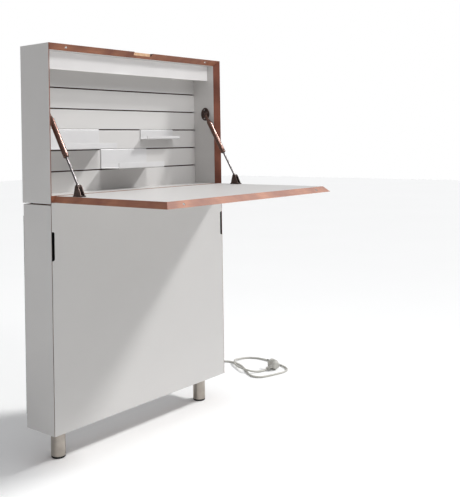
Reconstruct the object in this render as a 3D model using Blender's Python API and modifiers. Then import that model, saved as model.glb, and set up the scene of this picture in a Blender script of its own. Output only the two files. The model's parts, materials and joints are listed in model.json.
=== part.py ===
"""A slim wall secretary desk, modelled the way it is built.

A shallow upper carcass with a drop-down writing flap stands on a shallow lower cabinet, which has two
side doors and two round legs. Two gas struts carry the flap, three trays hook into the grooves of the
back panel, and a mains lead feeds a strip lamp and a socket.

Metres, +Z up, +Y towards the wall. The origin is on the floor, under the middle of the desk's box with
the flap open. Places are given from the datum: the floor under the middle of the carcass's front plane.

Run it with: blender --background --python part.py
"""

import math

import bmesh
import bpy
from mathutils import Matrix, Vector

MM = 0.001

# Overall sizes
WIDTH = 720 * MM
DEPTH = 120 * MM
HEIGHT = 1120 * MM
BOARD = 16 * MM  # laminate board
THIN_BOARD = 12 * MM  # back panels and shelves
FIT = 0.3 * MM  # gap between pieces that are glued or screwed together
MITRE_FIT = FIT * math.sqrt(2)  # the same gap, measured along a board with a mitred edge

# Upper carcass and lower cabinet
LEG_HEIGHT = 84 * MM
CABINET_TOP = 692 * MM  # top of the side doors
SEAM = 3.5 * MM  # open joint between a side door and the side panel above it
BACK_SETBACK = 20 * MM  # wall side of the desk to the front of the grooved back panel
CABINET_BACK_SETBACK = 24 * MM

# Grooves in the back panel
GROOVE_FIRST = 776 * MM
GROOVE_PITCH = 59 * MM
GROOVE_HEIGHT = 3.5 * MM
GROOVE_DEPTH = 7 * MM
GROOVE_HEADROOM = 60 * MM  # no groove this near the top panel

# Flap and its continuous hinge
FLAP_GAP = 0.8 * MM  # gap round the closed flap, along the front plane
FLAP_UNDERSIDE = 700 * MM
HINGE_BACK = 3.5 * MM  # hinge axis behind the front plane
HINGE_ABOVE = 3.5 * MM  # hinge axis above the open flap's underside
FLAP_REAR_GAP = 0.5 * MM
FRONT_PANEL_TOP = 698.5 * MM
FLAP_HINGE_LENGTH = 680 * MM
FLAP_KNUCKLE_RADIUS = 2.5 * MM
LEAF = 1.0 * MM
THIN_LEAF = 0.8 * MM
KNUCKLE_GAP = 0.4 * MM
PIN_RADIUS = 1.1 * MM
PIN_CLEARANCE = 0.25 * MM
NOTCH_WIDTH = 77 * MM
NOTCH_DEPTH = 9 * MM

# Catches in the mitres
CATCH_OFFSET = 293 * MM
CATCH_RADIUS = 3.5 * MM
CATCH_LENGTH = 5 * MM

# Gas struts: both pivots are given with the flap open
STRUT_INSET = 12 * MM  # strut axis to the inner face of the side panel
WALL_PIVOT = (43 * MM, 946 * MM)
FLAP_PIVOT = (-78 * MM, 741 * MM)
STRUT_RADIUS = 7.75 * MM
STRUT_NECK_RADIUS = 4 * MM
STRUT_SHOULDER = 31 * MM  # wall pivot to the cylinder's shoulder
STRUT_END = 149 * MM  # wall pivot to the cylinder's open end
STRUT_BORE_TOP = 58 * MM
ROD_RADIUS = 3 * MM
ROD_OVERLAP = 9 * MM  # rod left in the cylinder with the flap open
ROD_CLEARANCE = 0.4 * MM
STUD_RADIUS = 3 * MM
EYE_RADIUS = 7 * MM
EYE_WIDTH = 9 * MM
ROD_EYE_RADIUS = 6 * MM
ROD_EYE_WIDTH = 8 * MM
EAR_GAP = 11 * MM
EAR = 2 * MM
BRACKET_BASE = 3 * MM
BRACKET_FRONT = 20 * MM  # pivot to the base's front end
BRACKET_REAR = 14 * MM  # short, because the rod's eye passes over it
WALL_PLATE = (35 * MM, 43 * MM, 2.5 * MM)  # width, height, thickness
WALL_PLATE_CENTRE = (51.6 * MM, 945.8 * MM)

# Lamp and socket behind the valance
VALANCE_FRONT = 41.5 * MM
VALANCE = 3 * MM
VALANCE_BOTTOM = 1056 * MM
SOCKET_FROM_SIDE = 76 * MM
SOCKET_BOTTOM = 1060 * MM
SOCKET_HALF = 56 * MM
SOCKET_RECESS_RADIUS = 19.7 * MM
SOCKET_RECESS_DEPTH = 17.5 * MM
SOCKET_BOX_HALF = 20 * MM

# Trays that hook into the grooves
SHEET = 2 * MM
TRAY_WIDTH = 194 * MM
TRAY_REACH = 78 * MM
TRAY_DROP = 57 * MM
TRAY_LIP = 17 * MM
HOOK = 6 * MM
PEN_TRAY_CENTRE = 8 * MM
PHONE_TRAY_FROM_SIDE = 167 * MM  # outer left side to the tray's middle
LEDGE_FROM_SIDE = 205 * MM  # outer right side to the ledge's middle
LEDGE_WIDTH = 150 * MM
LEDGE_REACH = 32 * MM
LEDGE_DROP = 30 * MM
LEDGE_LIP = 10 * MM

# Side doors and their continuous hinges
DOOR_GAP = 1.5 * MM
DOOR_AXIS = (2.5 * MM, 2.5 * MM)  # in from the outer face and from the wall plane
DOOR_REAR = 3.5 * MM  # wall plane to the door's rear edge
DOOR_HINGE = (120 * MM, 660 * MM)
DOOR_KNUCKLE_RADIUS = 2.2 * MM
FINGER_SLOT = (9 * MM, 546 * MM, 622 * MM)  # width, lower end, upper end
STILE_WIDTH = 24 * MM
SHELF_TOP = 397 * MM

# Legs
LEG_RADIUS = 20 * MM
LEG_FROM_SIDE = 61 * MM
PAD_HEIGHT = 5 * MM

# Supply lead
LEAD_RADIUS = 3.25 * MM
LEAD_FROM_WALL = 4.4 * MM
GLAND = (130 * MM, 165 * MM)  # lower and upper end
CORD_STEP = 19.5 * MM
# The cord's route from the gland to the plug, in millimetres from the datum
CORD_ROUTE = (
    (284, 115.6, 129.7),
    (284, 116.5, 108),
    (285, 122, 80),
    (288, 136, 50),
    (296, 157, 24),
    (313, 182, 7.5),
    (345, 208, 3.6),
    (410, 240, 3.6),
    (485, 267, 3.6),
    (560, 285, 3.6),
    (625, 289, 3.6),
    (672, 277, 3.6),
    (697, 250, 3.6),
    (700, 215, 3.6),
    (686, 178, 3.6),
    (662, 144, 3.6),
    (637, 114, 3.6),
    (614, 85, 3.6),
    (604, 58, 3.6),
    (614, 35, 3.6),
    (642, 22, 3.6),
    (680, 11, 3.6),
    (716, 4, 3.6),
    (746, 9, 3.6),
    (768, 31, 3.6),
    (784, 67, 3.6),
    (798, 112, 3.6),
    (806, 158, 3.6),
    (800, 198, 3.6),
    (778, 225, 3.8),
    (744, 232, 6),
    (708, 223, 10.8),
    (681, 203, 8),
    (658, 173, 6.5),
    (642, 143, 9.5),
    (634, 120, 11),
    (635, 101, 9.5),
    (648, 85, 6),
    (668, 76, 4.2),
    (687, 69.9, 4),
    (697.9, 66.4, 7.6),
)

# Plug: angled, with two pins
PLUG_CENTRE = (731 * MM, 56 * MM)
PLUG_RADIUS = 18.5 * MM
PLUG_LENGTH = 36 * MM
PLUG_HEADING = math.radians(72.5)  # of the pins, from +X towards +Y
PLUG_ROLL = math.radians(18)  # turns the cord's sleeve down to the floor
PLUG_SLEEVE = 36 * MM  # plug axis to the sleeve's tip
PLUG_PIN_RADIUS = 2.4 * MM
PLUG_PIN_LENGTH = 19 * MM
PLUG_PIN_SPACING = 19 * MM

# Worked out from the sizes above
HALF = WIDTH / 2
INNER = HALF - BOARD
CARCASS_BOTTOM = CABINET_TOP + SEAM
UNDER_TOP = HEIGHT - BOARD
CARCASS_FLOOR = FLAP_UNDERSIDE + BOARD  # flush with the open flap
BACK_FRONT = DEPTH - BACK_SETBACK
CABINET_BACK_FRONT = DEPTH - CABINET_BACK_SETBACK
CABINET_BOARD_TOP = CARCASS_BOTTOM - FIT
CABINET_INNER = INNER - DOOR_GAP
HINGE_Y = HINGE_BACK
HINGE_Z = FLAP_UNDERSIDE + HINGE_ABOVE
FLAP_REACH = (HEIGHT - FLAP_GAP) - HINGE_Z - HINGE_Y  # front plane to the open flap's front edge
LEAD_X = HALF - SOCKET_FROM_SIDE
LEAD_Y = DEPTH - LEAD_FROM_WALL
STRUT_X = INNER - STRUT_INSET
FRONT_PLANE_Y = (FLAP_REACH - DEPTH) / 2  # of the front plane, from the origin

SIDES = (("left", -1), ("right", 1))
X, Y, Z = range(3)

scene = bpy.context.scene
desk = bpy.data.collections.new("secretary_desk")
helpers = bpy.data.collections.new("cutters")


# ---------------------------------------------------------------- tools


def material(name, colour, roughness, metallic=0.0):
    """A plain Principled finish."""
    made = bpy.data.materials.new(name)
    made.use_nodes = True
    shader = made.node_tree.nodes["Principled BSDF"]
    shader.inputs["Base Color"].default_value = (*colour, 1)
    shader.inputs["Roughness"].default_value = roughness
    shader.inputs["Metallic"].default_value = metallic
    made.diffuse_color = (*colour, 1)
    return made


def pivot(name, at, turn=(0, 0, 0)):
    """An empty that stands on a joint's axis. The pieces that move with the joint are its children."""
    empty = bpy.data.objects.new(name, None)
    desk.objects.link(empty)
    if name != "desk_datum":
        empty.parent = datum
    empty.location = at
    empty.rotation_euler = turn
    return empty


def put(obj, finish, parent=None, at=(0, 0, 0), turn=(0, 0, 0)):
    """Links an object to the desk and hangs it on its parent; at and turn are the parent's own."""
    desk.objects.link(obj)
    obj.data.materials.append(finish)
    obj.parent = parent or datum
    obj.location = at
    obj.rotation_euler = turn
    return obj


def from_bmesh(name, shape):
    mesh = bpy.data.meshes.new(name)
    shape.to_mesh(mesh)
    shape.free()
    return bpy.data.objects.new(name, mesh)


def box(name, low, high, finish, parent=None, inner=None, mitres=()):
    """A board between two corners, given from the datum.

    inner is the (axis, sign) of its inner face, and mitres lists the (axis, sign) of the edges that are
    cut at 45 degrees, so that the inner face ends a thickness short of the outer one.
    """
    low, high = Vector(low), Vector(high)
    middle, size = (low + high) / 2, high - low
    shape = bmesh.new()
    bmesh.ops.create_cube(shape, size=1)
    for vertex in shape.verts:
        side = [math.copysign(1, c) for c in vertex.co]
        vertex.co = Vector(c * s for c, s in zip(vertex.co, size))
        if inner and side[inner[0]] == inner[1]:
            for axis, sign in mitres:
                if side[axis] == sign:
                    vertex.co[axis] -= sign * size[inner[0]]
    made = from_bmesh(name, shape)
    start = parent.location if parent else Vector()
    return put(made, finish, parent, middle - start)


def rod(name, radius, start, end, finish, parent=None, sides=20, end_radius=None):
    """A round bar, or a cone, between two points given from the parent."""
    start, end = Vector(start), Vector(end)
    shape = bmesh.new()
    bmesh.ops.create_cone(
        shape,
        cap_ends=True,
        segments=sides,
        radius1=radius,
        radius2=radius if end_radius is None else end_radius,
        depth=(end - start).length,
    )
    made = from_bmesh(name, shape)
    made.data.shade_smooth()
    made.data.set_sharp_from_angle(angle=math.radians(40))
    turn = (end - start).to_track_quat("Z", "Y").to_euler()
    return put(made, finish, parent, (start + end) / 2, turn)


def turned(name, profile, finish, parent=None, at=(0, 0, 0), turn=(0, 0, 0), sides=24, ring=False):
    """A turned piece: profile is (radius, height) down its outer side; a ring's profile closes on itself."""
    mesh = bpy.data.meshes.new(name)
    points = [(radius, 0, height) for radius, height in profile]
    edges = [(i, i + 1) for i in range(len(points) - 1)]
    if ring:
        edges.append((len(points) - 1, 0))
    mesh.from_pydata(points, edges, [])
    made = put(bpy.data.objects.new(name, mesh), finish, parent, at, turn)
    screw = made.modifiers.new("turning", "SCREW")
    screw.steps = screw.render_steps = sides
    screw.use_merge_vertices = True
    screw.merge_threshold = 0.01 * MM
    screw.use_smooth_shade = False
    return made


def extruded(name, outline, length, finish, parent=None, at=(0, 0, 0)):
    """A flat outline of (Y, Z) points, drawn out along X and centred on at."""
    curve = bpy.data.curves.new(name, "CURVE")
    curve.dimensions = "2D"
    curve.fill_mode = "BOTH"
    curve.extrude = length / 2
    spline = curve.splines.new("POLY")
    spline.points.add(len(outline) - 1)
    for point, (y, z) in zip(spline.points, outline):
        point.co = (y, z, 0, 1)
    spline.use_cyclic_u = True
    made = bpy.data.objects.new(name, curve)
    # The curve's own X, Y and Z become the desk's Y, Z and X.
    turn = Matrix(((0, 0, 1), (1, 0, 0), (0, 1, 0))).to_euler()
    return put(made, finish, parent, at, turn)


def as_mesh(obj):
    """Turns a curve object into a welded mesh object, so that a Boolean can take it."""
    bpy.context.view_layer.update()
    graph = bpy.context.evaluated_depsgraph_get()
    mesh = bpy.data.meshes.new_from_object(obj.evaluated_get(graph))
    shape = bmesh.new()
    shape.from_mesh(mesh)
    bmesh.ops.remove_doubles(shape, verts=shape.verts, dist=0.01 * MM)
    bmesh.ops.recalc_face_normals(shape, faces=shape.faces)
    shape.to_mesh(mesh)
    shape.free()
    name, parent = obj.name, obj.parent
    at, turn = obj.location.copy(), obj.rotation_euler.copy()
    bpy.data.objects.remove(obj)
    mesh.name = name
    made = bpy.data.objects.new(name, mesh)
    desk.objects.link(made)
    made.parent, made.location, made.rotation_euler = parent, at, turn
    return made


def boolean(target, other, operation):
    desk.objects.unlink(other)
    helpers.objects.link(other)
    other.hide_render = True
    other.display_type = "WIRE"
    modifier = target.modifiers.new(other.name, "BOOLEAN")
    modifier.operation = operation
    modifier.object = other
    return target


def cut(target, *cutters):
    for cutter in cutters:
        boolean(target, cutter, "DIFFERENCE")
    return target


def join(target, *others):
    for other in others:
        boolean(target, other, "UNION")
    return target


def rounded(obj, width, segments=1):
    bevel = obj.modifiers.new("edges", "BEVEL")
    bevel.width = width
    bevel.segments = segments
    bevel.limit_method = "ANGLE"
    return obj


# ---------------------------------------------------------------- the carcass


def carcass():
    """Top, sides, floor and grooved back of the upper part."""
    top = box(
        "top_panel",
        (-HALF + MITRE_FIT, 0, UNDER_TOP),
        (HALF - MITRE_FIT, DEPTH, HEIGHT),
        LAMINATE,
        inner=(Z, -1),
        mitres=((X, -1), (X, 1), (Y, -1)),
    )
    radius = NOTCH_DEPTH / 2
    for name, sign in SIDES:
        end = sign * (NOTCH_WIDTH / 2 - radius)
        low, high = (end, radius, UNDER_TOP - BOARD), (end, radius, HEIGHT + BOARD)
        cut(top, rod(f"notch_end_{name}", radius, low, high, LAMINATE, sides=16))
    straight = NOTCH_WIDTH / 2 - radius
    cut(top, box("notch", (-straight, -BOARD, UNDER_TOP - BOARD), (straight, NOTCH_DEPTH, HEIGHT + BOARD), LAMINATE))
    reach = NOTCH_WIDTH / 2
    cut(top, box("notch_mouth", (-reach, -BOARD, UNDER_TOP - BOARD), (reach, radius, HEIGHT + BOARD), LAMINATE))

    for name, sign in SIDES:
        low, high = sorted((sign * INNER, sign * HALF))
        box(
            f"side_panel_{name}",
            (low, 0, CARCASS_BOTTOM),
            (high, DEPTH, HEIGHT),
            LAMINATE,
            inner=(X, -sign),
            mitres=((Y, -1), (Z, 1)),
        )
    box(
        "floor_panel",
        (-INNER + FIT, BOARD + LEAF, CARCASS_BOTTOM),
        (INNER - FIT, BACK_FRONT - FIT, CARCASS_FLOOR),
        LAMINATE,
    )
    back = box(
        "back_panel",
        (-INNER + FIT, BACK_FRONT, CARCASS_BOTTOM),
        (INNER - FIT, BACK_FRONT + THIN_BOARD, UNDER_TOP - FIT),
        LAMINATE,
    )
    for number, height in enumerate(groove_heights()):
        groove = box(
            f"groove_{number}",
            (-HALF, BACK_FRONT - BOARD, height - GROOVE_HEIGHT / 2),
            (HALF, BACK_FRONT + GROOVE_DEPTH, height + GROOVE_HEIGHT / 2),
            LAMINATE,
        )
        cut(back, groove)
    play = 1 * MM
    cut(
        back,
        box(
            "socket_cutout",
            (LEAD_X - SOCKET_BOX_HALF - play, BACK_FRONT - BOARD, SOCKET_BOTTOM + 6 * MM),
            (LEAD_X + SOCKET_BOX_HALF + play, DEPTH, HEIGHT),
            LAMINATE,
        ),
    )


def groove_heights():
    """Heights of the grooves' middles, from the lowest up."""
    count = int((UNDER_TOP - GROOVE_HEADROOM - GROOVE_FIRST) / GROOVE_PITCH) + 1
    return [GROOVE_FIRST + GROOVE_PITCH * i for i in range(count)]


def lamp_and_socket():
    """The valance across the top, with the strip lamp and the socket behind it."""
    box(
        "light_valance",
        (-INNER + FIT, VALANCE_FRONT, VALANCE_BOTTOM),
        (INNER - FIT, VALANCE_FRONT + VALANCE, UNDER_TOP - FIT),
        LAMINATE,
    )
    lamp_front, lamp_back, lamp_bottom = 52 * MM, 92 * MM, 1084 * MM
    lamp_left, lamp_right = -INNER + 4 * MM, LEAD_X - SOCKET_HALF - 8 * MM
    box(
        "lamp_housing",
        (lamp_left, lamp_front, lamp_bottom),
        (lamp_right, lamp_back, UNDER_TOP - FIT),
        ALUMINIUM,
    )
    rim, diffuser = 4 * MM, 5 * MM
    box(
        "lamp_diffuser",
        (lamp_left + rim, lamp_front + rim, lamp_bottom - FIT - diffuser),
        (lamp_right - rim, lamp_back - rim, lamp_bottom - FIT),
        DIFFUSER,
    )
    front, middle = 50 * MM, 75 * MM
    socket = box(
        "socket_unit",
        (LEAD_X - SOCKET_HALF, front, SOCKET_BOTTOM),
        (LEAD_X + SOCKET_HALF, BACK_FRONT - FIT, UNDER_TOP - FIT),
        WHITE_PLASTIC,
    )
    join(
        socket,
        box(
            "socket_box",
            (LEAD_X - SOCKET_BOX_HALF, BACK_FRONT - 5 * MM, SOCKET_BOTTOM + 7 * MM),
            (LEAD_X + SOCKET_BOX_HALF, DEPTH - 0.5 * MM, UNDER_TOP - 2 * MM),
            WHITE_PLASTIC,
        ),
    )
    top = SOCKET_BOTTOM + SOCKET_RECESS_DEPTH
    below = SOCKET_BOTTOM - BOARD
    cut(
        socket,
        rod("socket_recess", SOCKET_RECESS_RADIUS, (LEAD_X, middle, below), (LEAD_X, middle, top), WHITE_PLASTIC),
    )
    for name, sign in SIDES:
        x = LEAD_X + sign * PLUG_PIN_SPACING / 2
        hole = rod(f"socket_hole_{name}", 3 * MM, (x, middle, below), (x, middle, top + BOARD), WHITE_PLASTIC, sides=12)
        cut(socket, hole)


# ---------------------------------------------------------------- hinges


def knuckle_spans(start, end, count, owner):
    """The stretches of a continuous hinge's knuckles that belong to owner, 0 or 1."""
    step = (end - start) / count
    return [
        (start + step * i + KNUCKLE_GAP / 2, start + step * (i + 1) - KNUCKLE_GAP / 2)
        for i in range(count)
        if i % 2 == owner
    ]


def hinge_leaf(name, plate, tabs, knuckles, bore, finish):
    """A leaf: a plate that tabs join to its rolled knuckles, bored for the pin."""
    join(plate, *tabs)
    join(plate, *knuckles)
    cut(plate, bore)
    plate.name = name
    return plate


def flap_hinge(parent):
    """The continuous hinge between the front panel's top edge and the flap's rear edge."""
    half = FLAP_HINGE_LENGTH / 2
    count = 9
    radius = FLAP_KNUCKLE_RADIUS
    bore_radius = PIN_RADIUS + PIN_CLEARANCE
    leaves = (
        ("flap_hinge_fixed_leaf", 0, None),
        ("flap_hinge_moving_leaf", 1, parent),
    )
    seat = FRONT_PANEL_TOP + FIT
    rear = -FLAP_REAR_GAP + FIT
    plates = (
        ((-half, 2 * MM, seat), (half, BOARD - LEAF, seat + LEAF)),
        ((-half, rear, HINGE_Z - 0.5 * MM), (half, rear + THIN_LEAF, FLAP_UNDERSIDE + BOARD - LEAF)),
    )
    for (name, owner, hung), (low, high) in zip(leaves, plates):
        start = hung.location if hung else Vector()
        axis = Vector((0, HINGE_Y, HINGE_Z)) - start
        plate = box(f"{name}_plate", low, high, STEEL, hung)
        tabs, knuckles = [], []
        for number, (a, b) in enumerate(knuckle_spans(-half, half, count, owner)):
            if owner == 0:
                corners = (a, HINGE_Y - LEAF, seat + LEAF / 2), (b, HINGE_Y + LEAF, HINGE_Z - 1.5 * MM)
            else:
                corners = (a, rear + THIN_LEAF / 2, HINGE_Z - 0.4 * MM), (b, HINGE_Y - 1.4 * MM, HINGE_Z + LEAF)
            tabs.append(box(f"{name}_tab_{number}", *corners, STEEL, hung))
            ends = axis + Vector((a, 0, 0)), axis + Vector((b, 0, 0))
            knuckles.append(rod(f"{name}_knuckle_{number}", radius, *ends, STEEL, hung, sides=12))
        ends = axis - Vector((HALF, 0, 0)), axis + Vector((HALF, 0, 0))
        bore = rod(f"{name}_bore", bore_radius, *ends, STEEL, hung, sides=12)
        hinge_leaf(name, plate, tabs, knuckles, bore, STEEL)
    rod("flap_hinge_pin", PIN_RADIUS, (-half, HINGE_Y, HINGE_Z), (half, HINGE_Y, HINGE_Z), STEEL, sides=12)


def door_hinge(side, sign, parent):
    """The continuous hinge between a rear stile and the rear edge of a side door."""
    low_z, high_z = DOOR_HINGE
    count = 7
    axis_x, axis_y = sign * (HALF - DOOR_AXIS[0]), DEPTH - DOOR_AXIS[1]
    knuckle_clear = DOOR_KNUCKLE_RADIUS + KNUCKLE_GAP
    near = HALF - DOOR_AXIS[0] - knuckle_clear  # a plate's edge beside the knuckles
    door_rear = DEPTH - DOOR_REAR
    stile_rear = door_rear + FIT + THIN_LEAF
    leaves = (
        ("door_hinge_fixed_leaf", 0, None, CABINET_INNER - STILE_WIDTH + 2 * MM, stile_rear + FIT, LEAF),
        ("door_hinge_moving_leaf", 1, parent, INNER + 2 * MM, door_rear + FIT, THIN_LEAF),
    )
    for kind, owner, hung, far, y, thickness in leaves:
        name = f"{kind}_{side}"
        start = hung.location if hung else Vector()
        at = Vector((axis_x, axis_y, 0)) - start
        xs = sorted((sign * far, sign * near))
        plate = box(f"{name}_plate", (xs[0], y, low_z), (xs[1], y + thickness, high_z), STEEL, hung)
        tabs, knuckles = [], []
        for number, (a, b) in enumerate(knuckle_spans(low_z, high_z, count, owner)):
            xs = sorted((sign * (near - KNUCKLE_GAP), sign * (near + 1.7 * MM)))
            tabs.append(box(f"{name}_tab_{number}", (xs[0], y, a), (xs[1], y + thickness, b), STEEL, hung))
            ends = at + Vector((0, 0, a)), at + Vector((0, 0, b))
            knuckles.append(rod(f"{name}_knuckle_{number}", DOOR_KNUCKLE_RADIUS, *ends, STEEL, hung, sides=12))
        ends = at + Vector((0, 0, low_z - BOARD)), at + Vector((0, 0, high_z + BOARD))
        bore = rod(f"{name}_bore", PIN_RADIUS + PIN_CLEARANCE, *ends, STEEL, hung, sides=12)
        hinge_leaf(name, plate, tabs, knuckles, bore, STEEL)
    rod(
        f"door_hinge_pin_{side}",
        PIN_RADIUS,
        (axis_x, axis_y, low_z),
        (axis_x, axis_y, high_z),
        STEEL,
        sides=12,
    )


# ---------------------------------------------------------------- the flap


def flap(parent):
    """The writing flap, open."""
    edge = HALF - FLAP_GAP
    panel = box(
        "flap_panel",
        (-edge, -FLAP_REACH, FLAP_UNDERSIDE),
        (edge, -FLAP_REAR_GAP, FLAP_UNDERSIDE + BOARD),
        LAMINATE,
        parent,
        inner=(Z, 1),
        mitres=((X, -1), (X, 1), (Y, -1)),
    )
    slope = math.sqrt(0.5)
    start = parent.location
    for name, sign in SIDES:
        x = sign * CATCH_OFFSET
        # The flap's mitre faces forwards and up, the top panel's forwards and down.
        flap_face = Vector((x, -FLAP_REACH + BOARD / 2, FLAP_UNDERSIDE + BOARD / 2)) - start
        top_face = Vector((x, BOARD / 2, UNDER_TOP + BOARD / 2))
        catch(f"strike_plate_{name}", panel, flap_face, Vector((0, -slope, slope)), BRIGHT, parent)
        catch(f"catch_magnet_{name}", bpy.data.objects["top_panel"], top_face, Vector((0, -slope, -slope)), BRIGHT)


def catch(name, board, face, outwards, finish, parent=None):
    """A round magnet or strike, sunk in a board's mitre and flush with it."""
    depth = CATCH_LENGTH + FIT
    pocket = rod(f"{name}_pocket", CATCH_RADIUS + FIT, face + outwards * BOARD, face - outwards * depth, finish, parent)
    cut(board, pocket)
    rod(name, CATCH_RADIUS, face, face - outwards * CATCH_LENGTH, finish, parent)


def strut_pose():
    """Length of the open strut and the angle it leans forwards from hanging straight down."""
    back, down = WALL_PIVOT[0] - FLAP_PIVOT[0], WALL_PIVOT[1] - FLAP_PIVOT[1]
    return math.hypot(back, down), math.atan2(back, down)


def strut(side, sign, flap_parent):
    """A gas strut with its two brackets: the cylinder turns on the wall stud, and the rod slides in it."""
    x = sign * STRUT_X
    wall = sign * (INNER - FIT)
    length, lean = strut_pose()

    plate_width, plate_height, plate_thickness = WALL_PLATE
    inner_face = wall - sign * plate_thickness
    plate = rod(
        f"strut_wall_bracket_{side}",
        plate_height / 2,
        (wall, *WALL_PLATE_CENTRE),
        (inner_face, *WALL_PLATE_CENTRE),
        BRONZE,
        sides=28,
    )
    squeeze = plate_width / plate_height
    for vertex in plate.data.vertices:
        # The plate's own Z runs along the desk's X, and its own X along the desk's Y.
        vertex.co.x *= squeeze
    stud_end = x - sign * (EYE_WIDTH / 2 + 1.5 * MM)
    join(
        plate,
        rod(f"stud_{side}", STUD_RADIUS, (wall - sign * MM, *WALL_PIVOT), (stud_end, *WALL_PIVOT), BRONZE, sides=16),
        rod(
            f"stud_boss_{side}",
            EYE_RADIUS,
            (wall - sign * MM, *WALL_PIVOT),
            (x + sign * (EYE_WIDTH / 2 + 0.5 * MM), *WALL_PIVOT),
            BRONZE,
            sides=16,
        ),
    )

    turning = pivot(f"strut_{side}_axis", (x, *WALL_PIVOT), (-lean, 0, 0))
    bore = ROD_RADIUS + ROD_CLEARANCE
    cylinder = turned(
        f"strut_cylinder_{side}",
        (
            (0, -EYE_RADIUS * 0.6),
            (STRUT_NECK_RADIUS, -EYE_RADIUS * 0.6),
            (STRUT_NECK_RADIUS, -STRUT_SHOULDER + 4 * MM),
            (STRUT_RADIUS, -STRUT_SHOULDER),
            (STRUT_RADIUS, -STRUT_END + MM),
            (STRUT_RADIUS - MM, -STRUT_END),
            (bore, -STRUT_END),
            (bore, -STRUT_BORE_TOP),
            (0, -STRUT_BORE_TOP),
        ),
        BRONZE,
        turning,
        sides=20,
    )
    half_eye = Vector((EYE_WIDTH / 2, 0, 0))
    eye = rod(f"strut_eye_{side}", EYE_RADIUS, -half_eye, half_eye, BRONZE, turning)
    eye_hole = rod(f"strut_eye_hole_{side}", STUD_RADIUS + ROD_CLEARANCE, -3 * half_eye, 3 * half_eye, BRONZE, turning)
    join(cylinder, eye)
    cut(cylinder, eye_hole)

    rod_top = STRUT_END - ROD_OVERLAP
    bar = turned(
        f"strut_rod_{side}",
        ((0, -rod_top), (ROD_RADIUS, -rod_top), (ROD_RADIUS, -length), (0, -length)),
        STEEL,
        turning,
        sides=16,
    )
    end = Vector((0, 0, -length))
    half_eye = Vector((ROD_EYE_WIDTH / 2, 0, 0))
    half_pin = Vector((EAR_GAP / 2 - KNUCKLE_GAP, 0, 0))
    join(
        bar,
        rod(f"rod_eye_{side}", ROD_EYE_RADIUS, end - half_eye, end + half_eye, STEEL, turning),
        rod(f"rod_pin_{side}", STUD_RADIUS, end - half_pin, end + half_pin, STEEL, turning, sides=16),
    )
    flap_bracket(side, x, flap_parent)


def flap_bracket(side, x, parent):
    """The foot on the flap: a base plate and two ears on either side of the rod's eye."""
    y, z = FLAP_PIVOT
    seat = FLAP_UNDERSIDE + BOARD + FIT
    half_width = EAR_GAP / 2 + EAR
    base = box(
        f"strut_flap_bracket_{side}",
        (x - half_width, y - BRACKET_FRONT, seat),
        (x + half_width, y + BRACKET_REAR, seat + BRACKET_BASE),
        BRONZE,
        parent,
    )
    start = parent.location
    inset, top = 2 * MM, ROD_EYE_RADIUS
    outline = [(y - BRACKET_FRONT + inset, seat + MM), (y + BRACKET_REAR - inset, seat + MM)]
    steps = 6
    for step in range(steps + 1):
        angle = math.radians(25 + 130 * step / steps)
        outline.append((y + top * math.cos(angle), z + top * math.sin(angle)))
    outline = [(a - start.y, b - start.z) for a, b in outline]
    for number, sign in enumerate((-1, 1)):
        middle = x + sign * (EAR_GAP / 2 + EAR / 2)
        ear = as_mesh(extruded(f"ear_{side}_{number}", outline, EAR, BRONZE, parent, (middle - start.x, 0, 0)))
        head_start = Vector((middle, y, z)) - start
        head_end = head_start + Vector((sign * (EAR / 2 + 1.4 * MM), 0, 0))
        join(base, ear, rod(f"ear_head_{side}_{number}", 3.6 * MM, head_start, head_end, BRONZE, parent, sides=16))


# ---------------------------------------------------------------- hook-in trays


def tray(name, centre, width, groove, reach, drop, lip):
    """A folded sheet: a hook in the groove, a back plate, a floor and a lip."""
    back = BACK_FRONT - FIT
    half = SHEET / 2
    floor = groove - drop
    outline = (
        (BACK_FRONT + HOOK, groove + half),
        (back - SHEET, groove + half),
        (back - SHEET, floor + SHEET),
        (back - reach + SHEET, floor + SHEET),
        (back - reach + SHEET, floor + lip),
        (back - reach, floor + lip),
        (back - reach, floor),
        (back, floor),
        (back, groove - half),
        (BACK_FRONT + HOOK, groove - half),
    )
    outline = [(y, z - floor) for y, z in outline]
    extruded(name, outline, width, WHITE_STEEL, at=(centre, 0, floor))


def trays():
    grooves = groove_heights()
    tray("pen_tray", PEN_TRAY_CENTRE, TRAY_WIDTH, grooves[1], TRAY_REACH, TRAY_DROP, TRAY_LIP)
    tray("phone_tray", -HALF + PHONE_TRAY_FROM_SIDE, TRAY_WIDTH, grooves[2], TRAY_REACH, TRAY_DROP, TRAY_LIP)
    tray("letter_ledge", HALF - LEDGE_FROM_SIDE, LEDGE_WIDTH, grooves[2], LEDGE_REACH, LEDGE_DROP, LEDGE_LIP)


# ---------------------------------------------------------------- the lower cabinet


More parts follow.
